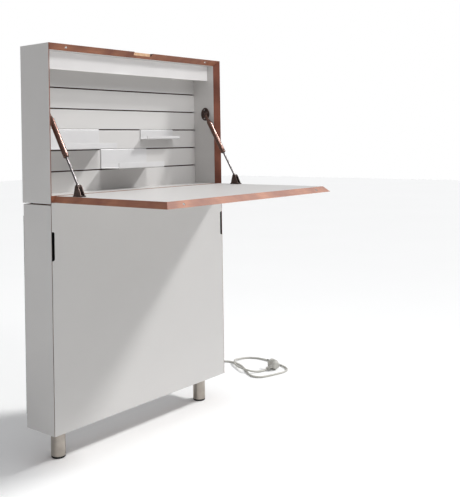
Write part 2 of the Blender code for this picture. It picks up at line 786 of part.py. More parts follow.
def cabinet():
    """The fixed front, the boards behind it and the shelves of the two side compartments."""
    width, low, high = FINGER_SLOT
    edge = HALF - DOOR_GAP
    front = box(
        "front_panel",
        (-edge, 0, LEG_HEIGHT),
        (edge, BOARD, FRONT_PANEL_TOP),
        LAMINATE,
        inner=(Y, 1),
        mitres=((X, -1), (X, 1)),
    )
    radius = width / 2
    for name, sign in SIDES:
        xs = sorted((sign * (edge - width), sign * HALF))
        slot = box(f"finger_slot_{name}", (xs[0], -BOARD, low + radius), (xs[1], 2 * BOARD, high - radius), LAMINATE)
        xs = sorted((sign * (edge - radius), sign * HALF))
        mouth = box(f"finger_slot_mouth_{name}", (xs[0], -2 * BOARD, low), (xs[1], 3 * BOARD, high), LAMINATE)
        cut(front, slot, mouth)
        for number, z in enumerate((low + radius, high - radius)):
            x = sign * (edge - radius)
            ends = (x, -1.5 * BOARD, z), (x, 2.5 * BOARD, z)
            cut(front, rod(f"finger_slot_end_{name}_{number}", radius, *ends, LAMINATE, sides=16))

    behind, rear = BOARD + FIT, CABINET_BACK_FRONT - FIT
    boards = (
        ("cabinet_bottom_panel", LEG_HEIGHT, LEG_HEIGHT + BOARD),
        ("cabinet_top_panel", CABINET_BOARD_TOP - BOARD, CABINET_BOARD_TOP),
    )
    for name, bottom, top in boards:
        box(name, (-CABINET_INNER, behind, bottom), (CABINET_INNER, rear, top), LAMINATE)
    box(
        "cabinet_back_panel",
        (-CABINET_INNER, CABINET_BACK_FRONT, LEG_HEIGHT),
        (CABINET_INNER, CABINET_BACK_FRONT + THIN_BOARD, CABINET_BOARD_TOP),
        LAMINATE,
    )
    half = BOARD / 2
    box(
        "centre_divider",
        (-half, behind, LEG_HEIGHT + BOARD + FIT),
        (half, rear, CABINET_BOARD_TOP - BOARD - FIT),
        LAMINATE,
    )
    for name, sign in SIDES:
        xs = sorted((sign * (half + FIT), sign * (CABINET_INNER - 2 * MM)))
        box(f"shelf_{name}", (xs[0], behind, SHELF_TOP - THIN_BOARD), (xs[1], rear, SHELF_TOP), LAMINATE)
        xs = sorted((sign * (CABINET_INNER - STILE_WIDTH), sign * CABINET_INNER))
        box(
            f"rear_stile_{name}",
            (xs[0], CABINET_BACK_FRONT + THIN_BOARD + FIT, LEG_HEIGHT),
            (xs[1], DEPTH - DOOR_REAR + FIT + THIN_LEAF, CABINET_TOP),
            LAMINATE,
        )
        xs = sorted((sign * (CABINET_INNER - 18 * MM), sign * CABINET_INNER))
        magnet = box(
            f"door_magnet_{name}",
            (xs[0], behind + 4 * MM, CABINET_BOARD_TOP - BOARD - FIT - 12 * MM),
            (xs[1], behind + 16 * MM, CABINET_BOARD_TOP - BOARD - FIT),
            WHITE_PLASTIC,
        )
        rounded(magnet, 0.8 * MM)


def side_door(side, sign):
    """A side door with its mitred front edge, its hinge, and the recess for the hinge's knuckles."""
    axis = (sign * (HALF - DOOR_AXIS[0]), DEPTH - DOOR_AXIS[1], 0)
    turning = pivot(f"side_door_{side}_axis", axis)
    xs = sorted((sign * INNER, sign * HALF))
    door = box(
        f"side_door_{side}",
        (xs[0], 0, LEG_HEIGHT),
        (xs[1], DEPTH - DOOR_REAR, CABINET_TOP),
        LAMINATE,
        turning,
        inner=(X, -sign),
        mitres=((Y, -1),),
    )
    clear = DOOR_KNUCKLE_RADIUS + KNUCKLE_GAP
    xs = sorted((sign * (HALF - DOOR_AXIS[0] - clear), sign * (HALF + BOARD)))
    low, high = DOOR_HINGE
    recess = box(
        f"knuckle_recess_{side}",
        (xs[0], axis[1] - clear, low - MM),
        (xs[1], DEPTH + BOARD, high + MM),
        LAMINATE,
        turning,
    )
    cut(door, recess)
    door_hinge(side, sign, turning)


def legs():
    for name, sign in SIDES:
        at = (sign * (HALF - LEG_FROM_SIDE), DEPTH / 2, 0)
        edge = MM
        turned(
            f"leg_{name}",
            (
                (0, LEG_HEIGHT - FIT),
                (LEG_RADIUS, LEG_HEIGHT - FIT),
                (LEG_RADIUS, PAD_HEIGHT + edge),
                (LEG_RADIUS - edge, PAD_HEIGHT),
                (0, PAD_HEIGHT),
            ),
            SATIN_STEEL,
            at=at,
            sides=36,
        )
        pad = LEG_RADIUS - 0.5 * MM
        turned(
            f"leg_pad_{name}",
            ((0, PAD_HEIGHT - FIT), (pad, PAD_HEIGHT - FIT), (pad, edge), (pad - edge, 0), (0, 0)),
            RUBBER,
            at=at,
            sides=28,
        )


def hangers():
    """Keyhole plates behind the back panel, by which the desk hangs on two wall screws."""
    seat = BACK_FRONT + THIN_BOARD + FIT
    thickness, half_width, half_height = 2.5 * MM, 30 * MM, 22 * MM
    middle = UNDER_TOP - 44 * MM
    for name, sign in SIDES:
        x = sign * 190 * MM
        plate = box(
            f"hanger_plate_{name}",
            (x - half_width, seat, middle - half_height),
            (x + half_width, seat + thickness, middle + half_height),
            STEEL,
        )
        head, neck, travel = 6 * MM, 3 * MM, 12 * MM
        y0, y1 = seat - BOARD / 4, seat + BOARD
        cut(
            plate,
            rod(f"keyhole_head_{name}", head, (x, y0, middle - travel / 2), (x, y1, middle - travel / 2), STEEL),
            box(f"keyhole_neck_{name}", (x - neck, y0 - MM, middle - travel / 2), (x + neck, y1 + MM, middle + travel), STEEL),
        )


# ---------------------------------------------------------------- lead, cord and plug


def lead():
    """The lead that climbs behind the back panels from the gland to the socket."""
    low, high = GLAND
    made = rod(
        "cord_gland",
        LEAD_RADIUS + 0.9 * MM,
        (LEAD_X, LEAD_Y, low),
        (LEAD_X, LEAD_Y, high),
        GREY_PLASTIC,
        sides=16,
    )
    foot = CABINET_BACK_FRONT + THIN_BOARD + FIT
    half_width, half_height = 11 * MM, 7 * MM
    middle = (low + high) / 2 + 6 * MM
    join(
        made,
        box(
            "gland_clamp",
            (LEAD_X - half_width, foot, middle - half_height),
            (LEAD_X + half_width, LEAD_Y, middle + half_height),
            GREY_PLASTIC,
        ),
    )
    rod(
        "internal_lead",
        LEAD_RADIUS,
        (LEAD_X, LEAD_Y, high + FIT),
        (LEAD_X, LEAD_Y, SOCKET_BOTTOM + 7 * MM - FIT),
        GREY_PLASTIC,
        sides=10,
    )


def smooth_route(points, step):
    """Points a step apart on a smooth curve through the given ones (a centripetal Catmull-Rom spline)."""
    ends = [points[0] * 2 - points[1], *points, points[-1] * 2 - points[-2]]
    fine = []
    parts = 24
    for a, b, c, d in zip(ends, ends[1:], ends[2:], ends[3:]):
        t1 = math.sqrt((b - a).length)
        t2 = t1 + math.sqrt((c - b).length)
        t3 = t2 + math.sqrt((d - c).length)
        for part in range(parts):
            t = t1 + (t2 - t1) * part / parts
            ab = a.lerp(b, t / t1)
            bc = b.lerp(c, (t - t1) / (t2 - t1))
            cd = c.lerp(d, (t - t2) / (t3 - t2))
            abc = ab.lerp(bc, t / t2)
            bcd = bc.lerp(cd, (t - t1) / (t3 - t1))
            fine.append(abc.lerp(bcd, (t - t1) / (t2 - t1)))
    fine.append(points[-1])
    total = sum((b - a).length for a, b in zip(fine, fine[1:]))
    count = round(total / step)
    route, walked, place = [fine[0]], 0.0, 1
    for number in range(1, count):
        goal = total * number / count
        while walked + (fine[place] - fine[place - 1]).length < goal:
            walked += (fine[place] - fine[place - 1]).length
            place += 1
        part = (goal - walked) / (fine[place] - fine[place - 1]).length
        route.append(fine[place - 1].lerp(fine[place], part))
    return [*route, fine[-1]]


def cord():
    """The free mains cord, from the gland to the plug."""
    points = smooth_route([Vector(p) * MM for p in CORD_ROUTE], CORD_STEP)
    curve = bpy.data.curves.new("power_cord", "CURVE")
    curve.dimensions = "3D"
    curve.bevel_depth = LEAD_RADIUS
    curve.bevel_resolution = 2
    curve.use_fill_caps = True
    spline = curve.splines.new("POLY")
    spline.points.add(len(points) - 1)
    for point, place in zip(spline.points, points):
        point.co = (*place, 1)
    put(bpy.data.objects.new("power_cord", curve), GREY_PLASTIC)


def plug():
    """The angled plug, lying on the rim of its round body."""
    radius = PLUG_RADIUS
    stand = pivot("plug_axis", (*PLUG_CENTRE, radius + FIT))
    # The plug's own Z runs out along the pins, and its own -X out along the cord's sleeve.
    ahead = Vector((math.cos(PLUG_HEADING), math.sin(PLUG_HEADING), 0))
    across = Vector((math.sin(PLUG_HEADING), -math.cos(PLUG_HEADING), 0))
    sleeve = -across * math.cos(PLUG_ROLL) - Vector((0, 0, math.sin(PLUG_ROLL)))
    stand.rotation_euler = Matrix((-sleeve, ahead.cross(-sleeve), ahead)).transposed().to_euler()
    front, back = PLUG_LENGTH / 2, -PLUG_LENGTH / 2
    body = turned(
        "plug_body",
        (
            (0, front),
            (radius - MM, front),
            (radius, front - MM),
            (radius, front - 7 * MM),
            (radius - 2.5 * MM, front - 10 * MM),
            (radius - 3 * MM, back + 10 * MM),
            (radius - 6 * MM, back + 2 * MM),
            (radius - 9 * MM, back),
            (0, back),
        ),
        GREY_PLASTIC,
        stand,
        sides=28,
    )
    tip = PLUG_SLEEVE - FIT
    collar = 6.2 * MM
    join(
        body,
        rod("plug_sleeve", collar, (-8 * MM, 0, -3 * MM), (-tip, 0, 0), GREY_PLASTIC, stand, 16, LEAD_RADIUS + 0.8 * MM),
    )
    for name, sign in (("a", -1), ("b", 1)):
        y = sign * PLUG_PIN_SPACING / 2
        start = front + FIT
        rod(
            f"plug_pin_{name}",
            PLUG_PIN_RADIUS,
            (0, y, start),
            (0, y, start + PLUG_PIN_LENGTH),
            STEEL,
            stand,
            sides=14,
        )


for old in list(bpy.data.objects):
    bpy.data.objects.remove(old)
scene.collection.children.link(desk)
scene.collection.children.link(helpers)
helpers.hide_render = True

LAMINATE = material("white_laminate", (0.78, 0.77, 0.76), 0.45)
BRONZE = material("bronze_lacquer", (0.16, 0.10, 0.08), 0.35, 0.8)
STEEL = material("zinc_plated_steel", (0.45, 0.45, 0.46), 0.35, 1.0)
SATIN_STEEL = material("satin_steel", (0.52, 0.49, 0.46), 0.38, 1.0)
ALUMINIUM = material("anodised_aluminium", (0.7, 0.7, 0.7), 0.4, 1.0)
DIFFUSER = material("lamp_diffuser", (0.9, 0.9, 0.88), 0.6)
WHITE_PLASTIC = material("white_plastic", (0.8, 0.8, 0.8), 0.4)
WHITE_STEEL = material("white_powder_coat", (0.85, 0.85, 0.86), 0.4)
GREY_PLASTIC = material("grey_pvc", (0.42, 0.41, 0.39), 0.5)
BRIGHT = material("bright_nickel", (0.8, 0.8, 0.8), 0.3, 1.0)
RUBBER = material("black_rubber", (0.02, 0.02, 0.02), 0.7)

datum = pivot("desk_datum", (0, FRONT_PLANE_Y, 0))
flap_axis = pivot("flap_axis", (0, HINGE_Y, HINGE_Z))

carcass()
lamp_and_socket()
flap(flap_axis)
flap_hinge(flap_axis)
for side_name, side_sign in SIDES:
    strut(side_name, side_sign, flap_axis)
    side_door(side_name, side_sign)
trays()
cabinet()
legs()
hangers()
lead()
cord()
plug()
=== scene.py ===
"""The looks of a slim wall secretary desk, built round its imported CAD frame.

Every sub-assembly is a class: it takes its places from the CAD nodes' boxes, builds its pieces and
dresses them. Metres, +Z up, +Y towards the wall, as in the CAD.
"""

from __future__ import annotations

import json
import logging
import math
from dataclasses import dataclass, field
from enum import Enum
from typing import Iterable, Sequence

import bmesh
import bpy
from mathutils import Matrix, Vector

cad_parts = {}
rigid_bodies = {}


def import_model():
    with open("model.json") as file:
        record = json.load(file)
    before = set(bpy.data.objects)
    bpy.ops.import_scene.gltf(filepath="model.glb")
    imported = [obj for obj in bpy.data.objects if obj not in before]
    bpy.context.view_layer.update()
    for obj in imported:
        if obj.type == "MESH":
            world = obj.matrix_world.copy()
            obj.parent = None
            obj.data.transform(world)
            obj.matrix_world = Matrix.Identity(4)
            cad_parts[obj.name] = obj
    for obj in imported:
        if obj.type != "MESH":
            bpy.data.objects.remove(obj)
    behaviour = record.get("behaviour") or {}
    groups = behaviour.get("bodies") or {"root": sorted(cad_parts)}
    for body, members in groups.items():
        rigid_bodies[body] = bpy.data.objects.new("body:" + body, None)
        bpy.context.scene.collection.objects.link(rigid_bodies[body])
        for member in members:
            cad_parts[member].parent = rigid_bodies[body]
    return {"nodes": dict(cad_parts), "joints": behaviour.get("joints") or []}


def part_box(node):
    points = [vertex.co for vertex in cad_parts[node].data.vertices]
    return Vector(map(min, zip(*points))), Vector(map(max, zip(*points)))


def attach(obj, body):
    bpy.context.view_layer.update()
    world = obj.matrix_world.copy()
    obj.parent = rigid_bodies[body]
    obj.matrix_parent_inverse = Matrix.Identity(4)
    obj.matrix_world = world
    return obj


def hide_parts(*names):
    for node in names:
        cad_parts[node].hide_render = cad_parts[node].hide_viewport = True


for old in list(bpy.data.objects):
    bpy.data.objects.remove(old)
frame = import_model()

MM = 0.001
LOG = logging.getLogger("secretary desk")
SIDES = (("left", -1), ("right", 1))
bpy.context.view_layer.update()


class Axis(Enum):
    """The frame's axes, as indices into a vector."""

    X = 0
    Y = 1
    Z = 2


# ---------------------------------------------------------------- finishes


def linear(code: str) -> tuple[float, float, float, float]:
    """Turns an sRGB hex colour into a linear one.

    Args:
        code: Six hex digits after a #.

    Returns:
        Red, green, blue and an alpha of 1.
    """
    shades = [int(code[i : i + 2], 16) / 255 for i in (1, 3, 5)]
    return (*[s / 12.92 if s <= 0.04045 else ((s + 0.055) / 1.055) ** 2.4 for s in shades], 1.0)


def add_node(tree: bpy.types.NodeTree, kind: str, inputs: dict | None = None, **settings) -> bpy.types.Node:
    """Adds a node with its settings and links.

    Args:
        tree: The node tree.
        kind: Blender's name for the node's type.
        inputs: A constant or an output socket for each input, by the input's name or index.
        **settings: The node's own properties.

    Returns:
        The node.
    """
    node = tree.nodes.new(kind)
    for name, value in settings.items():
        setattr(node, name, value)
    for name, value in (inputs or {}).items():
        if isinstance(value, bpy.types.NodeSocket):
            tree.links.new(value, node.inputs[name])
        else:
            node.inputs[name].default_value = value
    return node


@dataclass(frozen=True)
class Finish:
    """What a surface is made of and how it was made.

    colour and drift are the two sRGB colours that it wanders between, in patches patch_mm across.
    grain_mm is the size of the surface's grain along its run and across it, and relief_mm its height.
    stain is how strongly the grain is coloured with drift, and swing how far the roughness wanders.
    """

    name: str
    colour: str
    drift: str
    patch_mm: float
    grain_mm: tuple[float, float]
    relief_mm: float
    roughness: float
    swing: float = 0.04
    metallic: float = 0.0
    coat: float = 0.0
    stain: float = 0.0
    detail: float = 3.0

    def along(self, run: Axis = Axis.X) -> bpy.types.Material:
        """Makes the material, or finds it if it is made already.

        Args:
            run: The axis that the grain runs along.

        Returns:
            The material.
        """
        name = f"{self.name}_{run.name.lower()}"
        if name in bpy.data.materials:
            return bpy.data.materials[name]
        made = bpy.data.materials.new(name)
        made.use_nodes = True
        tree = made.node_tree
        shader = tree.nodes["Principled BSDF"]
        place = add_node(tree, "ShaderNodeTexCoord").outputs["Object"]
        steps = [1000 / self.grain_mm[0] if axis is run else 1000 / self.grain_mm[1] for axis in Axis]
        stretched = add_node(tree, "ShaderNodeMapping", {"Vector": place, "Scale": steps})
        grain = add_node(
            tree,
            "ShaderNodeTexNoise",
            {"Vector": stretched.outputs[0], "Scale": 1.0, "Detail": self.detail, "Roughness": 0.6},
        ).outputs["Fac"]
        patches = add_node(
            tree,
            "ShaderNodeTexNoise",
            {"Vector": place, "Scale": 1000 / self.patch_mm, "Detail": 2.0},
        ).outputs["Fac"]
        blend = add_node(tree, "ShaderNodeMapRange", {0: patches, 1: 0.3, 2: 0.7}).outputs[0]
        mixed = add_node(
            tree,
            "ShaderNodeMix",
            {0: blend, 6: linear(self.colour), 7: linear(self.drift)},
            data_type="RGBA",
        ).outputs[2]
        if self.stain:
            streaks = add_node(
                tree, "ShaderNodeMapRange", {0: grain, 1: 0.38, 2: 0.72, 3: 0.0, 4: self.stain}
            ).outputs[0]
            mixed = add_node(
                tree, "ShaderNodeMix", {0: streaks, 6: mixed, 7: linear(self.drift)}, data_type="RGBA"
            ).outputs[2]
        tree.links.new(mixed, shader.inputs["Base Color"])
        low, high = max(self.roughness - self.swing, 0.02), self.roughness + self.swing
        gloss = add_node(tree, "ShaderNodeMapRange", {0: grain, 1: 0.3, 2: 0.7, 3: low, 4: high})
        tree.links.new(gloss.outputs[0], shader.inputs["Roughness"])
        bump = add_node(
            tree, "ShaderNodeBump", {"Height": grain, "Distance": self.relief_mm * MM, "Strength": 0.6}
        )
        tree.links.new(bump.outputs[0], shader.inputs["Normal"])
        shader.inputs["Metallic"].default_value = self.metallic
        shader.inputs["Coat Weight"].default_value = self.coat
        shader.inputs["Coat Roughness"].default_value = 0.15
        made.diffuse_color = linear(self.colour)
        return made


# High-pressure laminate, pressed against a textured plate: an even white with a soft pearl gloss. Its
# real texture is about 0.3 mm, and is drawn coarser here so that it shows.
LAMINATE = Finish("white_laminate", "#CFCDCB", "#CECCCA", 90, (2.4, 2.4), 0.02, 0.36, 0.05)
# Lacquered valance: a smoother white, painted brighter than the laminate as painted light for the light that
# falls on it.
VALANCE_PAINTED_LIGHT = Finish("valance_painted_light", "#F1EFEE", "#EDEBEA", 120, (2.0, 2.0), 0.01, 0.3, 0.03)
# Walnut veneer, sawn and oiled: dark streaks along the board with a low sheen.
WALNUT = Finish("walnut_edge", "#AD7253", "#7F4B36", 60, (60, 0.9), 0.08, 0.46, 0.07, stain=0.7, detail=5.0)
# Walnut for the side panels' edges: the same oiled edge painted darker, as painted shade on the sides that
# stand in shade.
WALNUT_PAINTED_SHADE = Finish(
    "walnut_painted_shade", "#8C523E", "#683726", 60, (60, 0.9), 0.08, 0.46, 0.07, stain=0.7, detail=5.0
)
# The board's fibre core where the router opened it: dark brown, dry and matt. Also laid on the finger
# notch's ends as painted shade.
ROUTED_CORE_AND_NOTCH_SHADE = Finish("routed_core_and_notch_shade", "#5C352A", "#40241D", 8, (6, 1.0), 0.15, 0.75, 0.08, stain=0.5)
# Pale beech multiplex, seen where the fingers pull the flap.
BEECH = Finish("beech_core", "#D6B596", "#B88F6B", 12, (18, 0.9), 0.06, 0.5, stain=0.6)
# Powder coat on folded steel: a faint orange peel and a satin gloss.
POWDER_COAT = Finish("white_powder_coat", "#D2D1D1", "#CFCECE", 60, (1.2, 1.2), 0.03, 0.38, 0.04, coat=0.05)
# Bronze lacquer over a ground steel tube: warm, dark, and glossy along its length.
BRONZE = Finish(
    "bronze_lacquer", "#6E5045", "#5A3F36", 14, (30, 0.5), 0.01, 0.26, 0.05, metallic=0.75, coat=0.35
)
# Zinc alloy casting with a dark bronze lacquer: nearly black, its edges catching light. Also lines the
# screws' cross recesses as painted shade.
DARK_CASTING_AND_RECESS_SHADE = Finish(
    "dark_bronze_casting_and_recess_shade", "#51403A", "#3C2E2A", 7, (1.0, 1.0), 0.05, 0.38, 0.06, metallic=0.6
)
# Rod steel, ground and nitrided: dark grey and very smooth.
ROD_STEEL = Finish("nitrided_rod", "#777373", "#646060", 20, (20, 0.3), 0.004, 0.3, 0.04, metallic=1.0)
# Cold-rolled steel, zinc plated: pale grey with a soft directional sheen.
ZINC = Finish("zinc_plated_steel", "#B4B3B3", "#ADACAC", 18, (25, 0.6), 0.01, 0.36, 0.06, metallic=1.0)
# Steel tube, brushed round and satin nickel plated: fine rings, warm grey.
SATIN_NICKEL = Finish("satin_nickel", "#B5AEA6", "#A29B93", 30, (0.7, 40), 0.012, 0.34, 0.06, metallic=1.0)
# Bright nickel on a turned disc: a small mirror.
BRIGHT_NICKEL = Finish("bright_nickel", "#EDEBE8", "#E2E0DC", 3, (0.6, 0.6), 0.002, 0.16, 0.03, metallic=1.0)
# Nickel-plated brass pins, handled and slightly dulled: a darker grey mirror.
PIN_NICKEL = Finish("dull_nickel", "#66635E", "#585550", 4, (8, 0.6), 0.004, 0.26, 0.05, metallic=1.0)
# Aluminium extrusion, anodised: die lines along it under a silky oxide.
ANODISED = Finish("anodised_aluminium", "#CFCFD0", "#C2C3C4", 40, (60, 0.5), 0.01, 0.3, 0.05, metallic=1.0)
# Opal acrylic, extruded: milky, with a soft gloss.
OPAL = Finish("opal_acrylic", "#F2F1ED", "#ECEBE6", 60, (30, 8), 0.01, 0.3, 0.03)
# ABS, moulded in a fine-spark mould: white with an even satin skin.
WHITE_ABS = Finish("white_abs", "#E4E2DF", "#DCDAD7", 25, (0.9, 0.9), 0.03, 0.38, 0.05)
# Black ABS on the door magnets' faces; the same black is laid on the finger slots' walls and on the plate
# behind each slot as painted shade.
BLACK_ABS_AND_SLOT_SHADE = Finish("black_abs_and_slot_shade", "#1B1A1A", "#121212", 10, (0.9, 0.9), 0.03, 0.5)
# Soft PVC sheath, extruded: grey, slightly waxy, with faint draw lines.
PVC = Finish("grey_pvc", "#C6C4BD", "#BCBAB3", 30, (6, 1.5), 0.05, 0.42, 0.06)
# Hard PVC moulding of the plug: grey, matt where fingers hold it.
PLUG_PVC = Finish("grey_plug_pvc", "#C9C7C1", "#BFBDB6", 12, (0.8, 0.8), 0.04, 0.46, 0.05)
# Nitrile rubber, moulded: black and dull.
RUBBER = Finish("black_rubber", "#161515", "#0E0E0E", 8, (0.7, 0.7), 0.05, 0.72, 0.05)
# The studio's paper floor.
PAPER = Finish("studio_paper", "#FBFBFA", "#FAFAF9", 900, (40, 40), 0.01, 0.8, 0.03)


# ---------------------------------------------------------------- making pieces


def piece(
    name: str,
    shape: bmesh.types.BMesh,
    finishes: Sequence[bpy.types.Material],
    body: str | None,
    replaces: Iterable[str] = (),
    smooth: float | None = None,
) -> bpy.types.Object:
    """Makes an object from a shape and hands it to the frame.

    Args:
        name: The piece's name.
        shape: Its mesh, which is freed.
        finishes: Its materials, by face index.
        body: The CAD body that it rides on, or None.
        replaces: The CAD nodes that it stands for.
        smooth: The angle in degrees below which edges are smooth; flat without it.

    Returns:
        The object.
    """
    bmesh.ops.recalc_face_normals(shape, faces=shape.faces)
    mesh = bpy.data.meshes.new(name)
    shape.to_mesh(mesh)
    shape.free()
    if smooth is not None:
        mesh.shade_smooth()
        mesh.set_sharp_from_angle(angle=math.radians(smooth))
    made = bpy.data.objects.new(name, mesh)
    bpy.context.scene.collection.objects.link(made)
    for finish in finishes:
        mesh.materials.append(finish)
    if body:
        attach(made, body)
    if list(replaces):
        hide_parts(*replaces)
    return made


def dress(node: str, finish: bpy.types.Material) -> None:
    """Gives a CAD node that stays in view its finish."""
    mesh = frame["nodes"][node].data
    mesh.materials.clear()
    mesh.materials.append(finish)


# ---------------------------------------------------------------- shapes


def block(low: Sequence[float], high: Sequence[float]) -> bmesh.types.BMesh:
    """Makes a box between two corners."""
    shape = bmesh.new()
    bmesh.ops.create_cube(shape, size=1)
    size = Vector(high) - Vector(low)
    middle = (Vector(high) + Vector(low)) / 2
    shape.transform(Matrix.Translation(middle) @ Matrix.Diagonal((*size, 1)))
    return shape


def lathe(profile: Sequence[tuple[float, float]], sides: int = 64, ring: bool = False) -> bmesh.types.BMesh:
    """Turns a profile round Z.

    Args:
        profile: Radius and height of each point.
        sides: Faces in a turn.
        ring: Whether the last point joins the first.

    Returns:
        The shape.
    """
    shape = bmesh.new()
    turns = [2 * math.pi * i / sides for i in range(sides)]
    rows = []
    for radius, height in profile:
        around = turns if radius > 1e-7 else turns[:1]
        rows.append([shape.verts.new((radius * math.cos(a), radius * math.sin(a), height)) for a in around])
    pairs = list(zip(rows, rows[1:]))
    if ring:
        pairs.append((rows[-1], rows[0]))
    for one, two in pairs:
        for i in range(sides):
            j = (i + 1) % sides
            corners = (one[i % len(one)], one[j % len(one)], two[j % len(two)], two[i % len(two)])
            shape.faces.new(dict.fromkeys(corners))
    return shape


def soften(
    points: Sequence[tuple[float, float]], radius: float, closed: bool = False, steps: int = 5
) -> list[tuple[float, float]]:
    """Rounds the corners of a flat line.

    Args:
        points: Its corners.
        radius: How far back from a corner the rounding starts.
        closed: Whether the line closes on itself.
        steps: Points on each rounding.

    Returns:
        The rounded line.
    """
    made: list[tuple[float, float]] = []
    count = len(points)
    for i, point in enumerate(points):
        if not closed and i in (0, count - 1):
            made.append(tuple(point))
            continue
        here, before, after = Vector(point), Vector(points[i - 1]), Vector(points[(i + 1) % count])
        back = min(radius, (before - here).length * 0.49)
        on = min(radius, (after - here).length * 0.49)
        start = here + (before - here).normalized() * back
        end = here + (after - here).normalized() * on
        for step in range(steps + 1):
            t = step / steps
            made.append(tuple(start.lerp(here, t).lerp(here.lerp(end, t), t)))
    return made


def thicken(line: Sequence[tuple[float, float]], thickness: float) -> list[tuple[float, float]]:
    """Turns a flat line into the outline of a sheet of that thickness, with the line in its middle."""
    points = [Vector(p) for p in line]
    sides: list[list[tuple[float, float]]] = [[], []]
    for i, here in enumerate(points):
        before, after = points[max(i - 1, 0)], points[min(i + 1, len(points) - 1)]
        way = (after - before).normalized()
        across = Vector((-way.y, way.x)) * thickness / 2
        sides[0].append(tuple(here + across))
        sides[1].append(tuple(here - across))
    return [*sides[0], *reversed(sides[1])]


def prism(outline: Sequence[tuple[float, float]], start: float, end: float) -> bmesh.types.BMesh:
    """Draws a closed outline of (Y, Z) points out along X, from start to end."""
    shape = bmesh.new()
    ends = [[shape.verts.new((x, y, z)) for y, z in outline] for x in (start, end)]
    for i in range(len(outline)):
        j = (i + 1) % len(outline)
        shape.faces.new((ends[0][i], ends[0][j], ends[1][j], ends[1][i]))
    shape.faces.new(ends[0])
    shape.faces.new(ends[1])
    return shape


def aim(at: Vector, way: Vector) -> Matrix:
    """Gives the matrix that puts a shape's origin at a point and its +Z along a way."""
    return Matrix.Translation(at) @ Vector(way).to_track_quat("Z", "Y").to_matrix().to_4x4()


def moved(shape: bmesh.types.BMesh, matrix: Matrix) -> bmesh.types.BMesh:
    """Moves a shape."""
    shape.transform(matrix)
    return shape


def together(*shapes: bmesh.types.BMesh) -> bmesh.types.BMesh:
    """Puts several shapes into one; the shape at place n gets the face index n."""
    made = bmesh.new()
    for index, shape in enumerate(shapes):
        for face in shape.faces:
            face.material_index = index
        mesh = bpy.data.meshes.new("part")
        shape.to_mesh(mesh)
        shape.free()
        made.from_mesh(mesh)
        bpy.data.meshes.remove(mesh)
    return made


Tool = tuple[bmesh.types.BMesh, bpy.types.Material | Sequence[bpy.types.Material]]


def carve(target: bpy.types.Object, *tools: Tool) -> None:
    """Cuts shapes out of a piece.

    Args:
        target: The piece.
        *tools: Each tool's shape, and the finish of the faces that it leaves, or one by face index.
    """
    helpers = []
    for shape, left in tools:
        helper = piece("cutter", shape, [left] if isinstance(left, bpy.types.Material) else left, None)
        cut = target.modifiers.new("cut", "BOOLEAN")
        cut.object, cut.material_mode = helper, "TRANSFER"
        helpers.append(helper)
    bpy.context.view_layer.update()
    graph = bpy.context.evaluated_depsgraph_get()
    mesh = bpy.data.meshes.new_from_object(target.evaluated_get(graph))
    target.modifiers.clear()
    target.data = mesh
    for helper in helpers:
        bpy.data.objects.remove(helper)


def arris(target: bpy.types.Object, width: float = 0.4 * MM, segments: int = 2) -> bpy.types.Object:
    """Takes the sharpness off a piece's edges."""
    bevel = target.modifiers.new("arris", "BEVEL")
    bevel.width, bevel.segments = width, segments
    bevel.limit_method, bevel.angle_limit = "ANGLE", math.radians(32)
    bevel.use_clamp_overlap = True
    return target


@dataclass
class Screws:
    """Cross-recess screws that share one mesh for each head size."""

    heads: dict[float, bpy.types.Mesh] = field(default_factory=dict)

    def head(self, radius: float) -> bpy.types.Mesh:
        """Gives the mesh of a flat head with its cross recess."""
        if radius not in self.heads:
            dome = [(0, 0.55), (0.35, 0.52), (0.7, 0.4), (0.92, 0.2), (1.0, 0.0), (0.96, -0.2), (0, -0.2)]
            made = piece(
                "screw",
                lathe([(r * radius, h * radius * 0.5) for r, h in dome], 24),
                [ZINC.along()],
                None,
                smooth=50,
            )
            slot, half, deep = 0.13 * radius, 0.55 * radius, 0.02 * radius
            bars = [block((-a, -b, deep), (a, b, radius)) for a, b in ((slot, half), (half, slot))]
            # The cross recess's walls get the dark casting finish as painted shade.
            carve(made, *[(bar, DARK_CASTING_AND_RECESS_SHADE.along()) for bar in bars])
            self.heads[radius] = made.data
            bpy.data.objects.remove(made)
        return self.heads[radius]

    def drive(self, name: str, at: Vector, out: Vector, body: str, radius: float = 2.4 * MM) -> None:
        """Drives a screw, its head lying on the surface at a point."""
        made = bpy.data.objects.new(name, self.head(radius))
        bpy.context.scene.collection.objects.link(made)
        made.matrix_world = aim(at, out)
        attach(made, body)


SCREWS = Screws()


# ---------------------------------------------------------------- boards


@dataclass
class Board:
    """A laminate board with walnut edges, made in the box of its CAD node.

    looks is the axis that its faces look along. inner is the side of its inner face, and mitres are
    the edges that are cut at 45 degrees, so that the inner face is the smaller one.
    """

    node: str
    body: str
    looks: Axis
    run: Axis = Axis.X
    inner: int = 0
    mitres: tuple[tuple[Axis, int], ...] = ()
    face: Finish = LAMINATE
    edge: Finish = WALNUT
    cuts: list[Tool] = field(default_factory=list)

    def build(self) -> bpy.types.Object:
        """Saws the board, cuts it and eases its edges."""
        low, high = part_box(self.node)
        middle, thickness = (low + high) / 2, (high - low)[self.looks.value]
        shape = block(low, high)
        for vertex in shape.verts:
            side = [math.copysign(1, a - b) for a, b in zip(vertex.co, middle)]
            if side[self.looks.value] == self.inner:
                for axis, sign in self.mitres:
                    if side[axis.value] == sign:
                        vertex.co[axis.value] -= sign * thickness
        for found in shape.faces:
            found.normal_update()
            if abs(found.normal[self.looks.value]) < 0.99:
                reach = [max(c) - min(c) for c in zip(*[v.co for v in found.verts])]
                found.material_index = 1 + reach.index(max(reach))
        made = piece(
            f"{self.node}_board",
            shape,
            [self.face.along(self.run), *[self.edge.along(axis) for axis in Axis]],
            self.body,
            [self.node],
        )
        if self.cuts:
            carve(made, *self.cuts)
        LOG.info("board %s", self.node)
        return arris(made)


